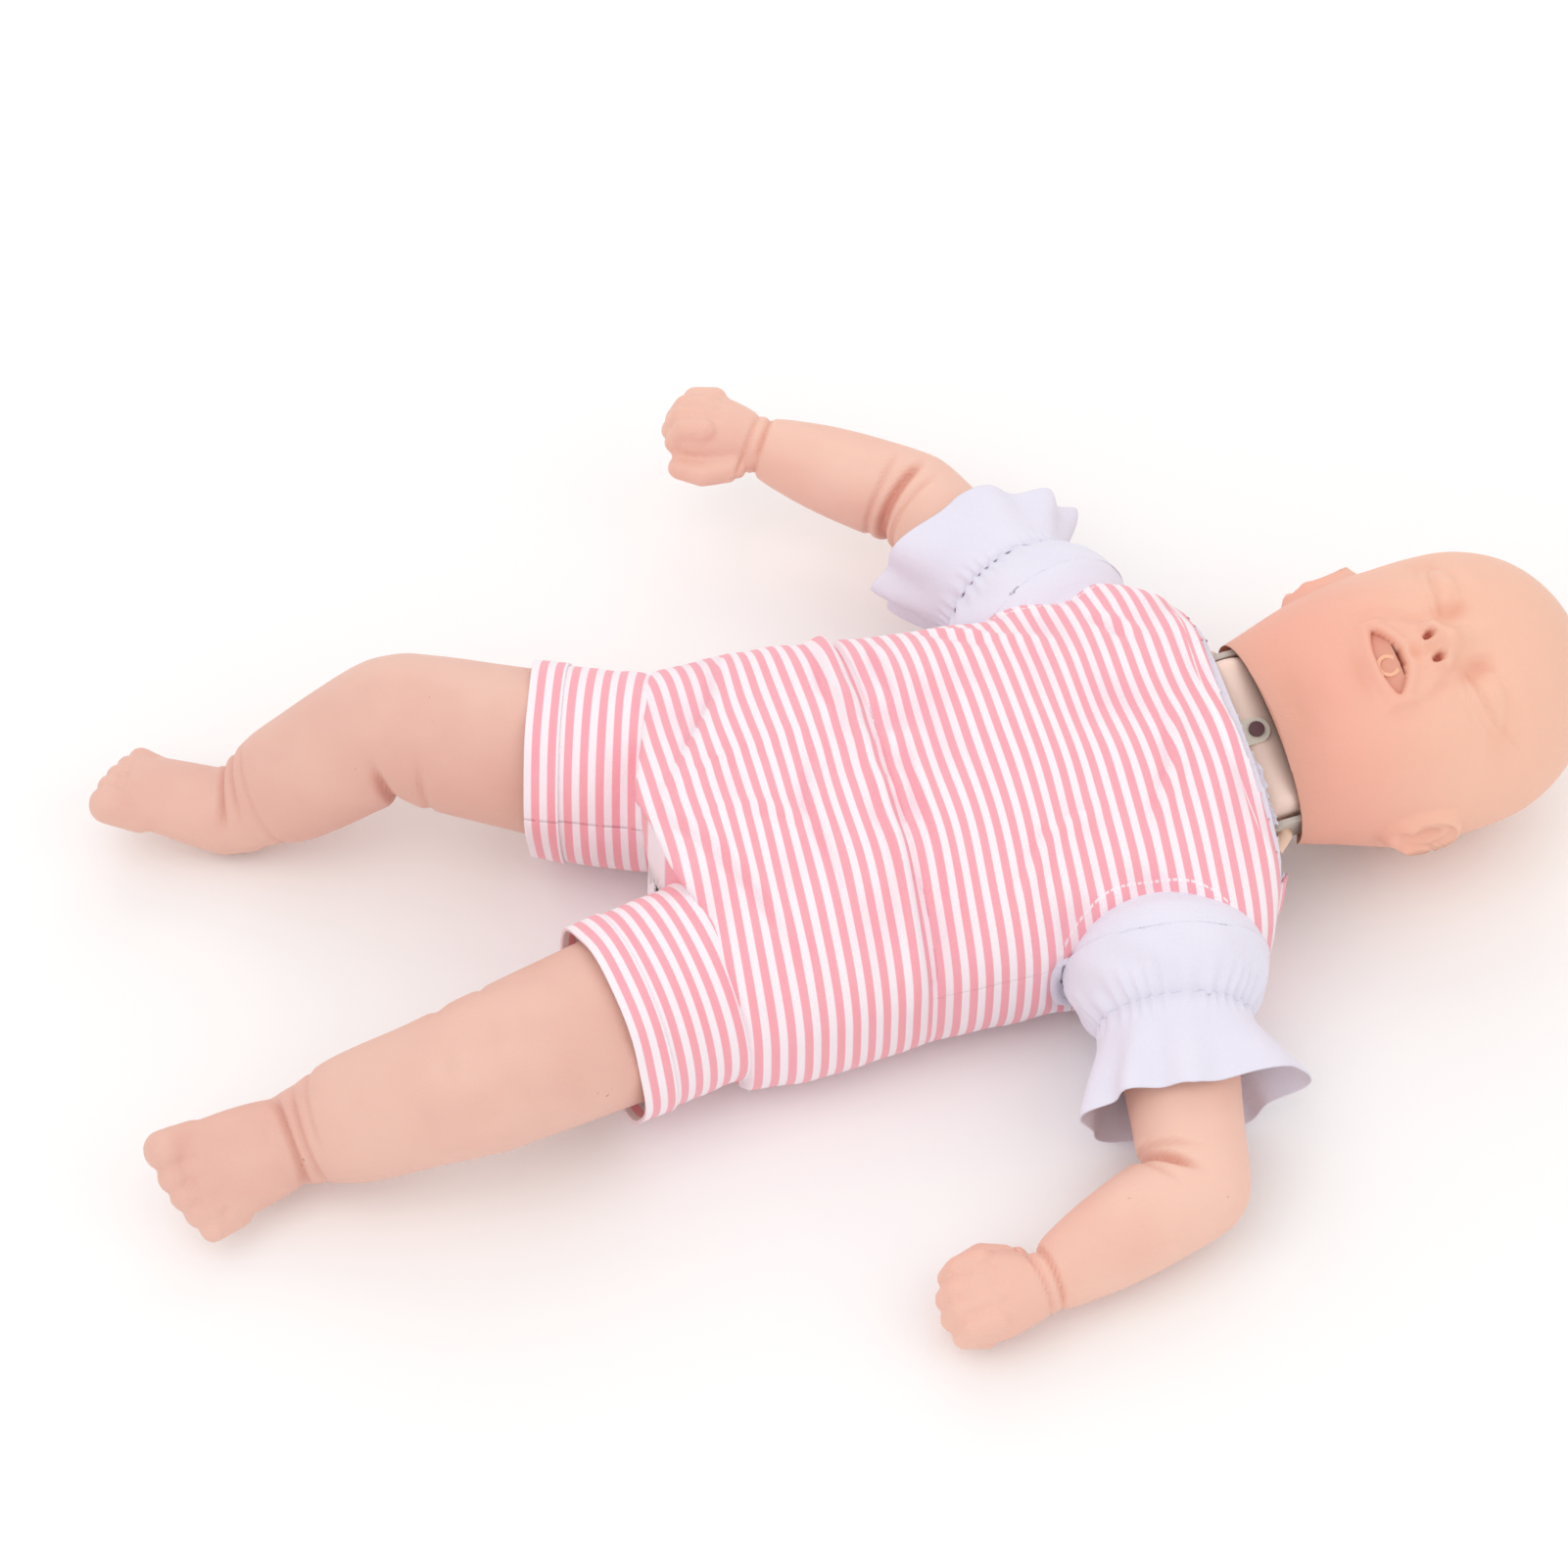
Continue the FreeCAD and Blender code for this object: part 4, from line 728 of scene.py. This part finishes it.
def flatten_to(spots, limb, radius, offset):
    """Press everything beyond a limb's root plane, and near its axis, back onto the plane."""
    local, turn, origin = about_axis(spots, limb)
    beyond = np.maximum(local[:, 0] - offset, 0.0)
    near = step(-np.hypot(local[:, 1], local[:, 2]), -radius - 6.0, -radius + 2.0)
    local[:, 0] -= beyond * near
    return local @ turn.T + origin


def wander(x, y, seed, size):
    """Slow, uneven wandering from -1 to 1."""
    total = np.zeros(len(x))
    for index in range(5):
        turn = 1.3 * seed + 2.4 * index
        pitch = size * (0.55 + 0.23 * index)
        total += np.sin((x * math.cos(turn) + y * math.sin(turn)) / pitch + 1.7 * index * seed
                        + 0.8 * np.sin((x * math.sin(turn) - y * math.cos(turn)) / (pitch * 1.7)))
    return total / 3.0


def trim(piece, keep):
    """Cut a sheet along keep = 0 and draw the points of its edge onto that line."""
    spots = points_of(piece)
    ends = np.empty(len(piece.data.edges) * 2, dtype=int)
    piece.data.edges.foreach_get("vertices", ends)
    start, stop = ends.reshape(-1, 2).T
    inside = keep > 0
    cross = inside[start] != inside[stop]
    held = np.where(inside[start], start, stop)[cross]
    free = np.where(inside[start], stop, start)[cross]
    share = keep[held] / (keep[held] - keep[free])
    target = spots[held] + share[:, None] * (spots[free] - spots[held])
    order = np.argsort(-np.linalg.norm(target - spots[free], axis=1))
    spots[free[order]] = target[order]
    put_points(piece, spots)
    corners = np.empty(len(piece.data.loops), dtype=int)
    piece.data.loops.foreach_get("vertex_index", corners)
    first = np.empty(len(piece.data.polygons), dtype=int)
    piece.data.polygons.foreach_get("loop_start", first)
    gone = np.add.reduceat(inside[corners].astype(int), first) == 0
    bpy.context.view_layer.objects.active = piece
    bpy.ops.object.mode_set(mode="EDIT")
    bpy.ops.mesh.select_mode(type="FACE")
    bpy.ops.mesh.select_all(action="DESELECT")
    bpy.ops.object.mode_set(mode="OBJECT")
    piece.data.polygons.foreach_set("select", gone)
    bpy.ops.object.mode_set(mode="EDIT")
    bpy.ops.mesh.delete(type="FACE")
    bpy.ops.mesh.select_mode(type="VERT")
    bpy.ops.object.mode_set(mode="OBJECT")


def finish_cloth(piece, look, wall, node):
    """Give a sheet its wall and material, and hide the model's nodes that it stands for."""
    apply(piece, "SMOOTH", "relax", factor=0.4, iterations=2)
    apply(piece, "SOLIDIFY", "wall", thickness=wall * 0.001, offset=-1.0)
    piece.data.materials.append(look.material)
    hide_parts(*node)


STRIPE_PAIR = 6.75


def jersey(name, striped):
    """Fine knitted cotton, plain white or in pink and white stripes that follow the run of the cloth, with
    painted shade in its creases.
    """
    look = Look(name)
    crease_shade = look.painted("crease_shade")
    if striped:
        phase = (look.painted("run") * (1000.0 / STRIPE_PAIR)).math("FRACT")
        edge = look.between(phase, 0.0, 0.07) * look.between(phase * -1.0, -0.59, -0.52)
        pink = look.blend(look.noise(45.0, 2.0), colour(252, 166, 178), colour(248, 176, 187))
        base = look.blend(edge, colour(250, 240, 245), pink)
        border = look.painted("edge")
        line = look.between(border, 5.7, 6.0) * look.between(border * -1.0, -6.8, -6.5)
        dash = look.between((look.axes()[0] * 420.0).math("FRACT"), 0.30, 0.36)
        base = look.blend(line * dash * 0.8, base, colour(252, 250, 252))
    else:
        base = look.blend(look.noise(40.0, 2.0), colour(236, 232, 244), colour(228, 225, 240))
    # Painted shade: creases darken to a deeper pink on the stripes, or a grey lavender on the white.
    base = look.blend(crease_shade * 0.3, base, colour(226, 150, 168) if striped else colour(206, 203, 222))
    look.set(Base_Color=base, Roughness=0.86 + 0.08 * look.noise(200.0), Sheen_Weight=0.25)
    grain = look.noise(2600.0, 1.0, stretch=(1.0, 0.35, 1.0)) + 0.6 * look.noise(1500.0, 2.0)
    look.bump(grain + 3.0 * look.noise(60.0, 3.0), 0.00016)
    return look


striped_jersey = jersey("striped_jersey", True)
white_jersey = jersey("white_jersey", False)


ROMPER_INSET = 0.4
HIP_REACH = 130.0
SHOULDER_RADIUS = 46.0
ARMHOLE_X, ARMHOLE_Y, ARMHOLE_RADIUS = 112.0, 131.0, 47.0
WAIST = 22.0
FLANK_SEAM = 57.0
SEAM_OVERLAP = 0.5
TORSO_END = 184.0


def romper_spots(x, around):
    spots = torso_place(x, around, ROMPER_INSET)
    for side in HIP_FRAMES:
        spots = flatten_to(spots, HIP_FRAMES[side], HIP_REACH, 2.4)
    for side in ARM_FRAMES:
        spots = flatten_to(spots, ARM_FRAMES[side], SHOULDER_RADIUS, -0.5)
    return spots


def romper_keep(spots):
    """Positive where the romper's cloth is: inside its neckline and clear of its armholes."""
    x, y, z = spots.T
    hole = np.hypot(x - ARMHOLE_X, np.abs(y) - ARMHOLE_Y) - ARMHOLE_RADIUS
    edge = 173.5 + 6.0 * (np.abs(y) / 84.0) ** 4 - 2.0 * np.exp(-(y / 30.0) ** 2)
    neckline = np.where(z > 58.0, edge, 183.0) - x
    return np.minimum(hole, neckline)


ROMPER_FOLDS = (
    ((-72, 4), (-58, 22), (-40, 50), (-28, 84)), ((-72, -4), (-60, -24), (-44, -52), (-32, -88)),
    ((-66, 8), (-40, 18), (-12, 20)), ((-64, -10), (-38, -16), (-16, -30)),
    ((10, -80), (14, -40), (13, -5)), ((12, 82), (8, 44), (13, 12)), ((32, -70), (30, -30), (34, 4)),
    ((34, 66), (36, 30)), ((60, -74), (78, -52), (100, -44)), ((58, 76), (80, 56), (104, 50)),
    ((120, -60), (138, -30), (146, 0)), ((130, 62), (144, 40)), ((-8, -60), (-14, -20), (-6, 14)))


def romper_relief(spots):
    """Height of the romper's folds, in millimetres."""
    x, y, z = spots.T
    front = step(z, 50.0, 85.0)
    lift = 1.3 * wander(x, y, 1.0, 15.0) + 0.7 * wander(x, y, 2.6, 7.0)
    for line in ROMPER_FOLDS:
        lift += groove(x, y, line, 2.4, 2.2) * front
        shifted = [(a + 5.5, b) for a, b in line]
        lift -= groove(x, y, shifted, 4.0, 2.8) * front
    lift -= 3.6 * np.exp(-((x - WAIST - 0.5) / 1.7) ** 2) * front
    lift += (3.4 + 1.2 * np.sin(y / 19.0)) * np.exp(-((x - WAIST + 6.0) / 4.2) ** 2) * front
    lift += 1.3 * np.sin(y / 5.4 + 2.0 * np.sin(y / 23.0)) * np.exp(-((x - WAIST) / 13.0) ** 2) * front
    lift += 1.6 * np.exp(-((romper_keep(spots) - 5.0) / 6.0) ** 2) * np.sin(x / 6.0 + y / 9.0) * front
    calm = step(z, 1.0, 12.0)
    return np.maximum((lift + 1.9) * calm - 1.0, -1.1)


def romper_panel(name, first, last, rows, columns, low, high, keep):
    """A folded sheet of the romper from first to last along x, trimmed where keep is negative."""
    def place(along, around):
        x = first + (last - first) * along
        turn = low + (high - low) * around
        spots = romper_spots(x, turn)
        ahead = romper_spots(x, turn + 0.004) - romper_spots(x, turn - 0.004)
        slope = romper_spots(np.minimum(x + 1.0, last), turn) - romper_spots(x - 1.0, turn)
        facing = np.cross(slope, ahead)
        facing /= np.maximum(np.linalg.norm(facing, axis=1), 1e-6)[:, None]
        centre = np.stack((x, 0 * x, 50 + 0 * x), 1)
        facing *= np.sign(np.sum(facing * (spots - centre), axis=1))[:, None]
        return spots + facing * romper_relief(spots)[:, None]

    piece = grid_piece(name, rows, columns, place, closed=True)
    spots = points_of(piece) * 1000.0
    lift = romper_relief(spots)
    hidden = 2.6 * step(spots[:, 0], WAIST - 1.0, WAIST + 1.0)
    paint(piece, "run", (spots[:, 0] + hidden + 1.3 * wander(spots[:, 0], spots[:, 1], 4.2, 22.0)) * 0.001)
    # Painted shade: the cloth darkens in the valleys of its folds, and a little on its smooth upper parts.
    paint(piece, "crease_shade", np.clip(0.35 - lift * 0.4, 0, 1) * step(spots[:, 2], 20.0, 40.0))
    paint(piece, "edge", romper_keep(spots))
    trim(piece, keep(spots))
    return piece


def bib_keep(spots):
    above_seam = spots[:, 2] - (FLANK_SEAM - SEAM_OVERLAP)
    return np.minimum(np.minimum(romper_keep(spots), spots[:, 0] - WAIST), above_seam)


def seat_keep(spots):
    in_bib = np.minimum(spots[:, 0] - WAIST - 3.0, spots[:, 2] - (FLANK_SEAM + SEAM_OVERLAP))
    return np.minimum(romper_keep(spots), -in_bib)


bib = romper_panel("romper_bib_cloth", WAIST - 2.0, TORSO_END, 130, 150, -0.02, 0.52, bib_keep)
finish_cloth(bib, striped_jersey, 1.0, ("romper_bib",))
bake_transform(bib)
seat = romper_panel("romper_seat_cloth", -106.0, TORSO_END, 190, 230, 0.0, 1.0, seat_keep)
finish_cloth(seat, striped_jersey, 1.0, ("romper_seat",))
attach(seat, "torso")

FLOOR_GAP = 0.0012
LEGGING_ROOT, LEGGING_END, CUFF_DEPTH = -5.0, 52.5, 15.0
for side in ("right", "left"):
    seed = 1.0 if side == "right" else 2.0

    def legging_place(along, around):
        fold_back = 0.76
        out = along < fold_back
        outwards = LEGGING_ROOT + (LEGGING_END - LEGGING_ROOT) * along / fold_back
        inwards = LEGGING_END - CUFF_DEPTH * (along - fold_back) / (1 - fold_back)
        distance = np.where(out, outwards, inwards)
        turn = 2 * np.pi * around
        radius = np.where(out, 41.4, 43.0 + 0.5 * step(along, fold_back, 1.0))
        hem = step(distance, 30.0, 52.0)
        radius = radius + hem * (1.3 * np.sin(3 * turn + seed) + 0.7 * np.sin(7 * turn + 2 * seed))
        bunch = step(-distance, -34.0, 4.0)
        gathers = np.sin(distance / 3.4 + 1.5 * np.sin(2 * turn + seed))
        radius = radius + 1.1 * bunch * gathers * (0.5 + 0.5 * np.sin(turn))
        radius = radius + 0.7 * wander(distance * 1.2, 40 * turn, seed + 2.0, 14.0)
        z = 0.12 * distance + radius * np.sin(turn)
        return np.stack((distance, radius * np.cos(turn), z), 1)

    legging = grid_piece("romper_leg_cloth_" + side, 110, 190, legging_place)
    flat = points_of(legging) * 1000.0
    cuff = flat[:, 0]
    paint(legging, "run", (cuff + 2.0) * 0.001)
    # Painted shade: the legging darkens near its root, where it comes out from under the romper's body.
    paint(legging, "crease_shade", step(-cuff, -4.0, 4.0) * 0.6)
    settle(outwards=False)
    legging.data.transform(HIP_FRAMES[side])
    spots = points_of(legging)
    spots[:, 2] = np.maximum(spots[:, 2], FLOOR_GAP)
    put_points(legging, spots)
    finish_cloth(legging, striped_jersey, 1.0, ("romper_leg_" + side,))
    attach(legging, side + "_leg")


# The shirt under the romper is plain white jersey, in a front and a back panel that meet along the
# flanks. It shows at the neckline, and its arm openings end where the sleeves are sewn on.
SHIRT_HEM, SHIRT_END = 28.0, 183.0
SHIRT_INSET = 2.6
OPENING_RADIUS = 44.5


def shirt_spots(x, around):
    spots = torso_place(x, around, SHIRT_INSET)
    for side in ARM_FRAMES:
        local, turn, origin = about_axis(spots, ARM_FRAMES[side])
        far = np.hypot(local[:, 1], local[:, 2])
        wanted = 36.0 + 6.0 * step(local[:, 0], -20.0, -2.0)
        puffed = far + np.maximum(wanted - far, 0.0) * step(local[:, 0], -24.0, -10.0)
        local[:, 1:] *= (puffed / np.maximum(far, 1.0))[:, None]
        local[:, 0] = np.where(far < SHOULDER_RADIUS, np.minimum(local[:, 0], 0.3), local[:, 0])
        spots = local @ turn.T + origin
    return spots


def shirt_panel(name, low, high, keep):
    """A sheet of the shirt between two shares of the way round, trimmed where keep is negative."""
    def place(along, around):
        spots = shirt_spots(SHIRT_HEM + (SHIRT_END - SHIRT_HEM) * along, low + (high - low) * around)
        away = np.maximum(step(np.abs(spots[:, 1]), 66.0, 82.0) * step(spots[:, 0], 60.0, 80.0),
                          step(spots[:, 0], 160.0, 170.0))
        lift = 0.7 * wander(spots[:, 0], spots[:, 1] + spots[:, 2], 3.1, 9.0) - 2.0 * (1 - away)
        centre = np.stack((spots[:, 0], 0 * spots[:, 0], 50 + 0 * spots[:, 0]), 1)
        out = (spots - centre) / np.maximum(np.linalg.norm(spots - centre, axis=1), 1e-6)[:, None]
        return spots + out * lift[:, None]

    piece = grid_piece(name, 110, 130, place, closed=True)
    spots = points_of(piece) * 1000.0
    paint(piece, "run", spots[:, 0] * 0.001)
    paint(piece, "crease_shade", 0 * spots[:, 0])
    trim(piece, keep(spots))
    return piece


def arm_openings(spots):
    open_here = np.full(len(spots), 9.0)
    for side in ARM_FRAMES:
        local = about_axis(spots, ARM_FRAMES[side])[0]
        inside = np.hypot(local[:, 1], local[:, 2]) < OPENING_RADIUS
        open_here = np.minimum(open_here, np.where(inside, 0.2 - local[:, 0], 9.0))
    return open_here


def shirt_front_keep(spots):
    neck = 176.0 + 6.0 * (np.abs(spots[:, 1]) / 90.0) ** 2 - spots[:, 0]
    above_seam = spots[:, 2] - (FLANK_SEAM - SEAM_OVERLAP)
    return np.minimum(np.minimum(above_seam, neck), arm_openings(spots))


def shirt_back_keep(spots):
    return np.minimum((FLANK_SEAM + SEAM_OVERLAP) - spots[:, 2], arm_openings(spots))


shirt_front = shirt_panel("shirt_front_cloth", -0.02, 0.52, shirt_front_keep)
finish_cloth(shirt_front, white_jersey, 0.8, ("shirt_front",))
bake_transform(shirt_front)
shirt_back = shirt_panel("shirt_back_cloth", 0.47, 1.03, shirt_back_keep)
finish_cloth(shirt_back, white_jersey, 0.8, ("shirt_back",))
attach(shirt_back, "torso")


# Each sleeve is a short puffed tube of the shirt's white jersey, gathered at its lower seam onto a
# wide pleated flounce. Both are tubes round the upper arm and move with it.
def level_frame(limb):
    """A limb's root and axis, without the limb's roll."""
    along = limb.to_3x3().col[0]
    up = (Vector((0, 0, 1)) - along * along.z).normalized()
    turn = Matrix((along, up.cross(along), up)).transposed()
    return Matrix.LocRotScale(limb.translation, turn.to_quaternion(), Vector((1, 1, 1)))


SLEEVE_LENGTH, FLOUNCE_LENGTH = 28.5, 41.0
REST_HEIGHT = 0.006
for side in ("right", "left"):
    level = level_frame(ARM_FRAMES[side])
    seed = 1.0 if side == "right" else 2.3

    def sleeve_place(along, around):
        distance = -1.0 + SLEEVE_LENGTH * along
        turn = 2 * np.pi * around
        share = np.clip(distance / 27.0, 0, 1)
        puff = 3.0 * np.sin(np.pi * share) - 0.6
        ripple = 1.0 * step(share, 0.35, 1.0) * np.sin(31 * turn + 2.5 * np.sin(5 * turn + seed))
        ripple += 0.8 * np.sin(9 * turn + 6 * share + seed) * np.sin(np.pi * share)
        wide = 44.0 - 12.0 * share + puff + ripple
        tall = 42.0 - 11.0 * share + puff + ripple
        return np.stack((distance, wide * np.cos(turn), tall * np.sin(turn)), 1)

    def flounce_place(along, around):
        distance = 26.0 + FLOUNCE_LENGTH * along
        turn = 2 * np.pi * around
        flare = step(along, 0.0, 1.1)
        pleat = np.sin(8 * turn + 1.5 * np.sin(2 * turn + seed) + seed)
        gather = np.sin(34 * turn + 2.0 * np.sin(6 * turn)) * step(-along, -0.3, 0.0)
        ripple = 3.4 * flare * pleat + 0.8 * gather
        headward = np.maximum(np.cos(turn) * (-1 if side == "right" else 1), 0.0)
        wide = 32.0 + 11.0 * flare + 11.0 * flare * headward ** 1.5 + ripple
        tall = 31.0 + 1.0 * flare + 0.8 * ripple
        distance = distance + 1.6 * flare * np.sin(3 * turn + 2 * seed) - 13.0 * along * headward
        return np.stack((distance, wide * np.cos(turn), tall * np.sin(turn) - 1.5 * flare), 1)

    for name, place, node, rows, columns, length in (
            ("sleeve_cloth_", sleeve_place, "sleeve_", 50, 300, 0.031),
            ("flounce_cloth_", flounce_place, "sleeve_flounce_", 60, 300, 0.041)):
        cloth = grid_piece(name + side, rows, columns, place, closed=True)
        flat = points_of(cloth) * 1000.0
        paint(cloth, "run", flat[:, 0] * 0.001)
        # Painted shade: a band darkens the cloth about 27 mm along, where the sleeve's gathered seam meets
        # the flounce.
        paint(cloth, "crease_shade", 0.7 * np.exp(-((flat[:, 0] - 27.0) / 2.6) ** 2))
        cloth.data.transform(level)
        spots = points_of(cloth)
        settled = FLOOR_GAP + REST_HEIGHT * np.exp((spots[:, 2] - FLOOR_GAP - REST_HEIGHT) / 0.012)
        spots[:, 2] = np.where(spots[:, 2] < FLOOR_GAP + REST_HEIGHT, settled, spots[:, 2])
        put_points(cloth, spots)
        finish_cloth(cloth, white_jersey, 0.7, (node + side,))
        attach(cloth, side + "_arm")


# The collar is a narrow frill of the shirt's jersey, gathered on a stay-stitch round the neck drum.
# Its lower edge stays with the shirt.
COLLAR_HEIGHT, COLLAR_HALF_WIDTH, COLLAR_HALF_DEPTH = 12.0, 44.0, 22.8
collar_turn = Matrix.Rotation(math.radians(6.8), 3, "Z")
collar_centre = HEAD_CENTRE + HEAD_TURN @ Vector((-87.0, 0.0, 2.0))
collar_frame = Matrix.LocRotScale(collar_centre * 0.001, collar_turn.to_quaternion(), Vector((1, 1, 1)))


def collar_place(along, around):
    turn = 2 * np.pi * around
    ripple = 1.5 * np.sin(46 * turn + 3.0 * np.sin(7 * turn)) * (0.35 + 0.65 * np.abs(2 * along - 1))
    ripple += 0.8 * np.sin(5 * turn)
    distance = -20.0 + COLLAR_HEIGHT * along + 0.8 * np.sin(9 * turn)
    wide = COLLAR_HALF_WIDTH + ripple + 1.5 * along
    return np.stack((distance, wide * np.cos(turn), (COLLAR_HALF_DEPTH + ripple) * np.sin(turn)), 1)


collar = grid_piece("collar_frill", 14, 420, collar_place, closed=True)
flat = points_of(collar) * 1000.0
paint(collar, "run", flat[:, 0] * 0.001)
# Painted shade: a thin band darkens the frill along its gathered stay-stitch.
paint(collar, "crease_shade", 0.5 * np.exp(-((flat[:, 0] + 14.0) / 1.5) ** 2))
collar.data.transform(collar_frame)
finish_cloth(collar, white_jersey, 0.7, ("shirt_collar",))

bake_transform(collar)


# Inside are moulded plastic shells, a ribbed chest plate on its steel spring, and the airway. The
# hard neck drum with its strap and rivet shows in the open neck.
def moulded(name, main, shade, rough, metal=0.0):
    """Moulded plastic or drawn metal with a little uneven colour and a fine moulded grain."""
    look = Look(name)
    cloud = look.noise(30.0, 3.0)
    look.set(Base_Color=look.blend(cloud, main, shade), Roughness=rough + 0.12 * look.noise(140.0),
             Metallic=metal)
    look.bump(look.noise(1400.0, 2.0) + 2.0 * look.noise(160.0, 2.0), 0.00006)
    return look.material


NODE_LOOKS = (
    (moulded("shell_plastic", colour(226, 222, 214), colour(214, 209, 200), 0.42),
     ("back_shell", "belly_shell", "click_dome")),
    (moulded("chest_plastic", colour(205, 212, 220), colour(192, 200, 210), 0.38), ("chest_plate",)),
    (moulded("bag_film", colour(214, 226, 232), colour(200, 214, 222), 0.25), ("lung_bag",)),
    (moulded("spring_steel", colour(176, 178, 182), colour(150, 152, 156), 0.28, 1.0),
     ("compression_spring", "shell_screws")),
    (moulded("rivet_plastic", colour(104, 66, 70), colour(86, 52, 58), 0.3), ("strap_rivet",)),
    (moulded("drum_plastic", colour(252, 224, 210), colour(248, 214, 200), 0.38),
     ("neck_drum", "neck_washer")),
    (moulded("pin_plastic", colour(248, 214, 190), colour(240, 200, 176), 0.34),
     ("hinge_pin_right", "hinge_pin_left")),
    (moulded("strap_vinyl", colour(232, 222, 208), colour(216, 204, 188), 0.4), ("retaining_strap",)),
    (moulded("frame_plastic", colour(224, 214, 204), colour(206, 196, 186), 0.42), ("head_frame",)),
    (moulded("airway_plastic", colour(250, 196, 164), colour(240, 182, 150), 0.36),
     ("mouth_nozzle", "airway_elbow")),
)
for material, nodes in NODE_LOOKS:
    for name in nodes:
        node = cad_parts[name]
        if not node.data.materials:
            node.data.materials.append(material)
        for slot in node.material_slots:
            slot.material = material
